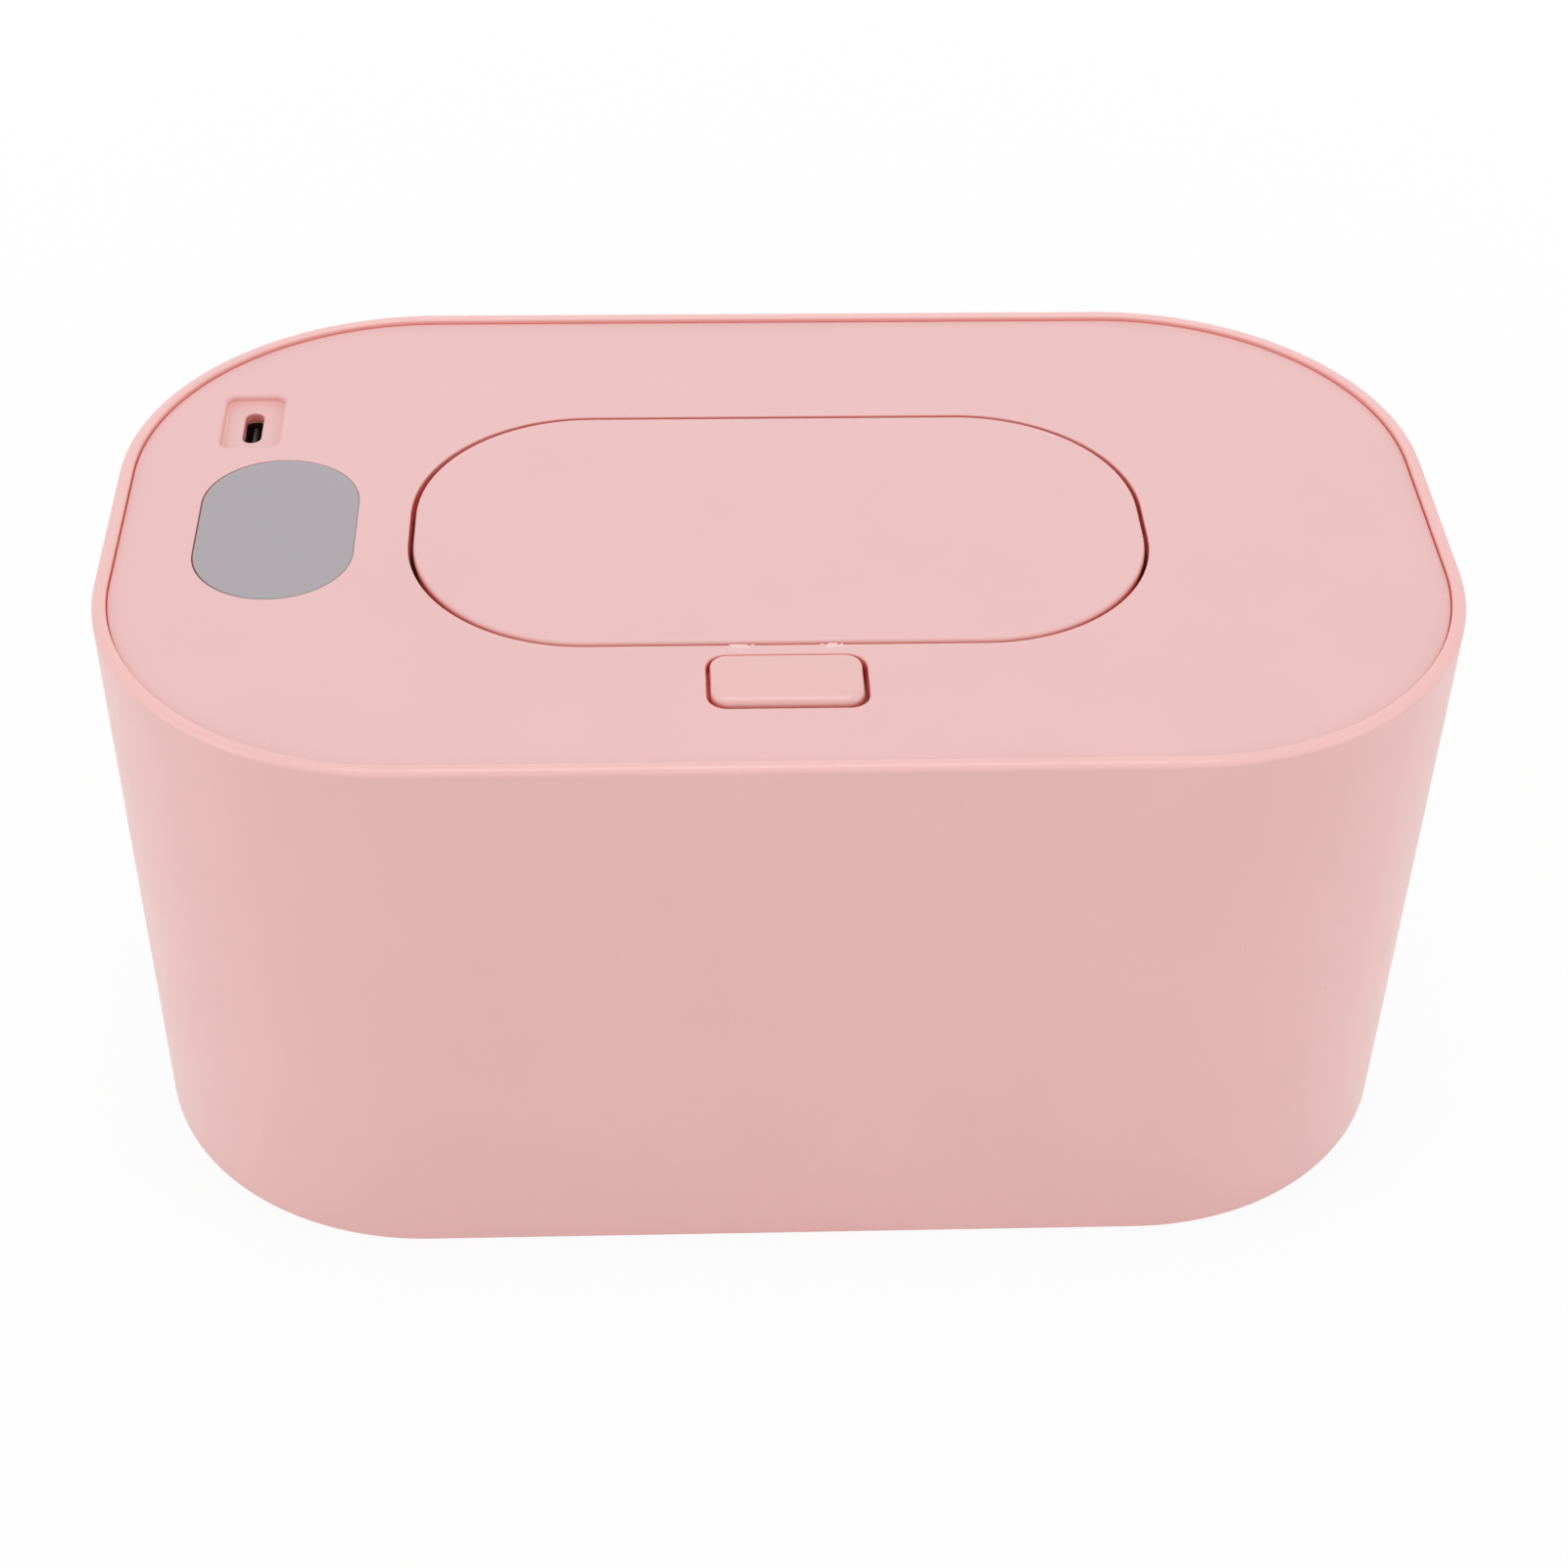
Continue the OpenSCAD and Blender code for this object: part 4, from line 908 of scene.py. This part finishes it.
def make_seal():
    """The soft ring under the lid, with a rounded lip that presses on the collar."""
    low, high = (Vector(corner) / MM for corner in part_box("outlet_seal"))
    form = Form()
    width = high.x - low.x
    depth = high.y - low.y
    middle_y = (high.y + low.y) / 2
    lip = SEAL_W / 2 - 0.05
    outer = [(inset, z) for inset, z in round_under(lip, low.z, 8)] + [(0, high.z)]
    inner = [(SEAL_W, high.z)] + [(SEAL_W - inset, z) for inset, z in reversed(round_under(lip, low.z, 8))]
    rings = form.sweep(outer + inner, width, depth, depth / 2, 0, middle_y)
    form.skin(rings[-1], rings[0])
    return piece("collar_seal", form, SEAL_RUBBER, "lid", ("outlet_seal",))


def make_button_cap():
    """The button's cap, faintly pillowed, with a wide rounded edge in front."""
    form = Form()
    low = PLATE_Z - SKIN
    crown = 0.05
    steps = 14
    middle = (BUTTON_X, BUTTON_Y + (BUTTON_D - CAP_D) / 2)
    reaches = (0.45, 1.4, 0.6)
    drop = 1.3
    top = BUTTON_TOP - crown
    base = form.ring(outline(CAP_W, CAP_D, BUTTON_R, middle[0], middle[1], 0, steps), low)
    rings = shoulder(form, CAP_W, CAP_D, BUTTON_R, middle, reaches, top, drop, steps, 12)
    form.skin(base, rings[0])
    form.cap(base)
    form.crown(rings[-1], crown, 6)
    return piece("button_cap", form, BUTTON_PINK, "button", ("release_button",))


def helix(centre, axis_map, radius, wire, turns, height):
    """Points of a compression spring with its wire inside a height."""
    round_steps = 24
    count = int(turns * round_steps)
    points = []
    for k in range(count + 1):
        angle = 2 * math.pi * k / round_steps
        rise = wire / 2 + (height - wire) * k / count
        turned = Vector((radius * math.cos(angle), radius * math.sin(angle), rise))
        points.append(centre + axis_map @ turned)
    return points


def make_springs():
    """The wound springs; the two that move with a joint get a mesh of their own."""
    upright = Matrix.Identity(3)
    forward = Matrix(((1, 0, 0), (0, 0, 1), (0, -1, 0)))
    for name, node, axis_map, radius, wire, turns, joint in (
            ("crown_spring", "button_spring", upright, 2.1, 0.5, 7, "button_press"),
            ("finger_spring", "touch_spring", upright, 2.1, 0.5, 5, None),
            ("catch_spring", "latch_spring", forward, 1.3, 0.4, 4, "latch_slide")):
        low, high = (Vector(corner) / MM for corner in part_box(node))
        middle = (low + high) / 2
        if axis_map is upright:
            height = high.z - low.z
            centre = Vector((0.0 if node == "button_spring" else LENS_X, middle.y, low.z))
        else:
            height = high.y - low.y
            centre = Vector((0, low.y, middle.z))
        path = helix(centre, axis_map, radius, wire, turns, height)
        spring = tube(name, path, wire / 2, STEEL, "cover", (node,), 10)
        if joint:
            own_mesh(spring)


def make_cover_parts():
    """Copies of the other CAD nodes with rounded edges: piece, node, material, body, slot and bevel."""
    low = PLATE_Z - SKIN
    dressed("cover_inside", "top_cover", TOP_PINK, "cover", "case_pink", 0.22, keep_below=low)
    dressed("lid_underside", "flip_lid", TOP_PINK, "lid", "case_pink", 0.2, keep_below=PLATE_Z - LID_T - 0.01)
    dressed("button_body", "release_button", BUTTON_PINK, "button", "case_pink", 0.15, keep_below=low + 0.05)
    for row in (
            ("well", "well_tray", INNER_PINK, "cover", "inner_plastic", 0.2),
            ("lower_shell", "lower_cover", INNER_PINK, "cover", "inner_plastic", 0.3),
            ("heater_plate_sheet", "heating_plate", ALUMINIUM, "cover", "aluminium", 0.25),
            ("latch", "latch_slider", WHITE_PLASTIC, "latch", "white_plastic", 0.15),
            ("bracket", "latch_bracket", INNER_PINK, "cover", "inner_plastic", 0.2),
            ("hinge_rod", "hinge_pin", STEEL, "cover", "steel", 0.2),
            ("digit_block", "digit_display", WHITE_PLASTIC, "cover", "white_plastic", 0.2),
            ("dark_frame", "light_frame", BLACK_PLASTIC, "cover", "black_plastic", 0.1),
            ("board", "control_board", BOARD, "cover", "board_green", 0.1),
            ("board_pieces", "board_parts", BLACK_PLASTIC, "cover", "black_plastic", 0.1),
            ("case_screws", "cover_screws", STEEL, "cover", "steel", 0.15),
            ("small_screws", "board_screws", STEEL, "cover", "steel", 0.1),
            ("bracket_pair", "bracket_screws", STEEL, "cover", "steel", 0.1),
            ("well_screws", "tray_screws", STEEL, "cover", "steel", 0.1),
            ("bead", "thermistor", BLACK_PLASTIC, "cover", "black_plastic", 0.3),
            ("fuse", "thermal_fuse", CERAMIC, "cover", "ceramic", 0.15)):
        dressed(*row)


def dress_nodes():
    """Better materials on the nodes that keep their CAD shape."""
    for node, material in (("heating_film", FILM), ("insulation_pad", FELT), ("heater_leads", LEAD),
                           ("lid_springs", STEEL)):
        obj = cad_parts[node]
        obj.data.materials.clear()
        obj.data.materials.append(material)


# Room, light and camera


def seen_share(tree, *kinds):
    """1 for the named kinds of ray, such as the camera's, and 0 for the others."""
    path = tree.nodes.new("ShaderNodeLightPath")
    share = path.outputs[kinds[0]]
    for kind in kinds[1:]:
        either = tree.nodes.new("ShaderNodeMath")
        either.operation = "MAXIMUM"
        tree.links.new(share, either.inputs[0])
        tree.links.new(path.outputs[kind], either.inputs[1])
        share = either.outputs["Value"]
    return share


def stage_material(name, colour, glow):
    """A pale floor that shows white to the camera, but keeps part of the shadow near the object."""
    nodes = Nodes(name)
    nodes.shader.inputs["Base Color"].default_value = (*colour, 1.0)
    nodes.set(Roughness=0.9, Specular_IOR_Level=0.1)
    away = nodes.tree.nodes.new("ShaderNodeVectorMath")
    away.operation = "LENGTH"
    nodes.link(nodes.where, away.inputs[0])
    level = nodes.ramp(away.outputs["Value"], FLOOR_NEAR, FLOOR_FAR, glow, 1.0)
    seen = seen_share(nodes.tree, "Is Camera Ray", "Is Glossy Ray", "Is Transmission Ray")
    light = nodes.tree.nodes.new("ShaderNodeEmission")
    light.inputs["Strength"].default_value = 1.0
    blend = nodes.tree.nodes.new("ShaderNodeMixShader")
    nodes.link(nodes.math("MULTIPLY", seen, level), blend.inputs["Fac"])
    nodes.link(nodes.shader.outputs[0], blend.inputs[1])
    nodes.link(light.outputs[0], blend.inputs[2])
    nodes.link(blend.outputs[0], nodes.tree.nodes["Material Output"].inputs["Surface"])
    return nodes.material


def make_stage():
    """The floor, just under the feet."""
    bpy.ops.mesh.primitive_plane_add(size=60.0, location=(0, 0, -0.00003))
    floor = bpy.context.object
    floor.name = "floor"
    floor.data.materials.append(stage_material("pale_floor", (0.9, 0.9, 0.9), 0.93))


def make_world():
    """Even light from all round, which the camera and reflections see as plain white."""
    world = bpy.data.worlds.new("studio")
    bpy.context.scene.world = world
    world.use_nodes = True
    tree = world.node_tree
    background = tree.nodes["Background"]
    background.inputs["Color"].default_value = (1.0, 0.995, 0.99, 1.0)
    background.inputs["Strength"].default_value = WORLD_LEVEL
    plain = tree.nodes.new("ShaderNodeBackground")
    plain.inputs["Color"].default_value = (1.0, 1.0, 1.0, 1.0)
    plain.inputs["Strength"].default_value = 1.0
    blend = tree.nodes.new("ShaderNodeMixShader")
    tree.links.new(seen_share(tree, "Is Camera Ray", "Is Glossy Ray"), blend.inputs["Fac"])
    tree.links.new(background.outputs[0], blend.inputs[1])
    tree.links.new(plain.outputs[0], blend.inputs[2])
    tree.links.new(blend.outputs[0], tree.nodes["World Output"].inputs["Surface"])


def area_light(name, place_at, target, size, power):
    """A white rectangular lamp that faces a target."""
    data = bpy.data.lights.new(name, "AREA")
    data.shape = "RECTANGLE"
    data.size, data.size_y = size
    data.energy = power
    obj = bpy.data.objects.new(name, data)
    obj.location = place_at
    direction = Vector(target) - Vector(place_at)
    obj.rotation_euler = direction.to_track_quat("-Z", "Y").to_euler()
    bpy.context.scene.collection.objects.link(obj)


def make_lights():
    """Soft lamps above and round the object, all aimed at its middle."""
    centre = (0, 0, 0.06)
    area_light("top_softbox", (0.0, 0.1, 1.1), centre, (0.55, 0.45), 3.1)
    area_light("left_softbox", (-1.0, -0.35, 0.6), centre, (0.7, 0.8), 3.3)
    area_light("right_softbox", (1.0, -0.35, 0.6), centre, (0.7, 0.8), 3.0)
    area_light("front_softbox", (0.0, -1.3, 0.55), centre, (1.4, 0.4), 1.4)
    area_light("back_softbox", (0.0, 1.3, 0.5), centre, (1.4, 0.4), 1.4)


def make_camera():
    """The camera that took the photograph, found from the object's outlines in it."""
    focal_pixels = 3191.15
    pitch, yaw, roll = (math.radians(angle) for angle in (38.735, 3.020, 1.205))
    position = Vector((-18.98, -389.81, 354.82 + TUB_Z)) * MM
    level = Matrix(((1, 0, 0),
                    (0, -math.sin(pitch), -math.cos(pitch)),
                    (0, math.cos(pitch), -math.sin(pitch))))
    heading = Matrix.Rotation(yaw, 3, "Z")
    tilt = Matrix.Rotation(roll, 3, "Z")
    right, down, ahead = tilt @ level @ heading
    data = bpy.data.cameras.new("camera")
    data.sensor_fit = "HORIZONTAL"
    data.sensor_width = 36.0
    data.lens = focal_pixels / PHOTO_SIZE * data.sensor_width
    data.clip_start = 0.01
    camera = bpy.data.objects.new("camera", data)
    turn = Matrix((right, -down, -ahead)).transposed()
    camera.matrix_world = Matrix.Translation(position) @ turn.to_4x4()
    bpy.context.scene.collection.objects.link(camera)
    bpy.context.scene.camera = camera


make_camera()
make_stage()
make_world()
make_lights()
make_tub()
make_feet()
make_top_plate()
make_burrs()
make_window()
make_socket()
make_tongue()
make_contacts()
make_lid_top()
make_seal()
make_button_cap()
make_springs()
make_cover_parts()
dress_nodes()

bpy.context.scene.view_settings.view_transform = "Standard"
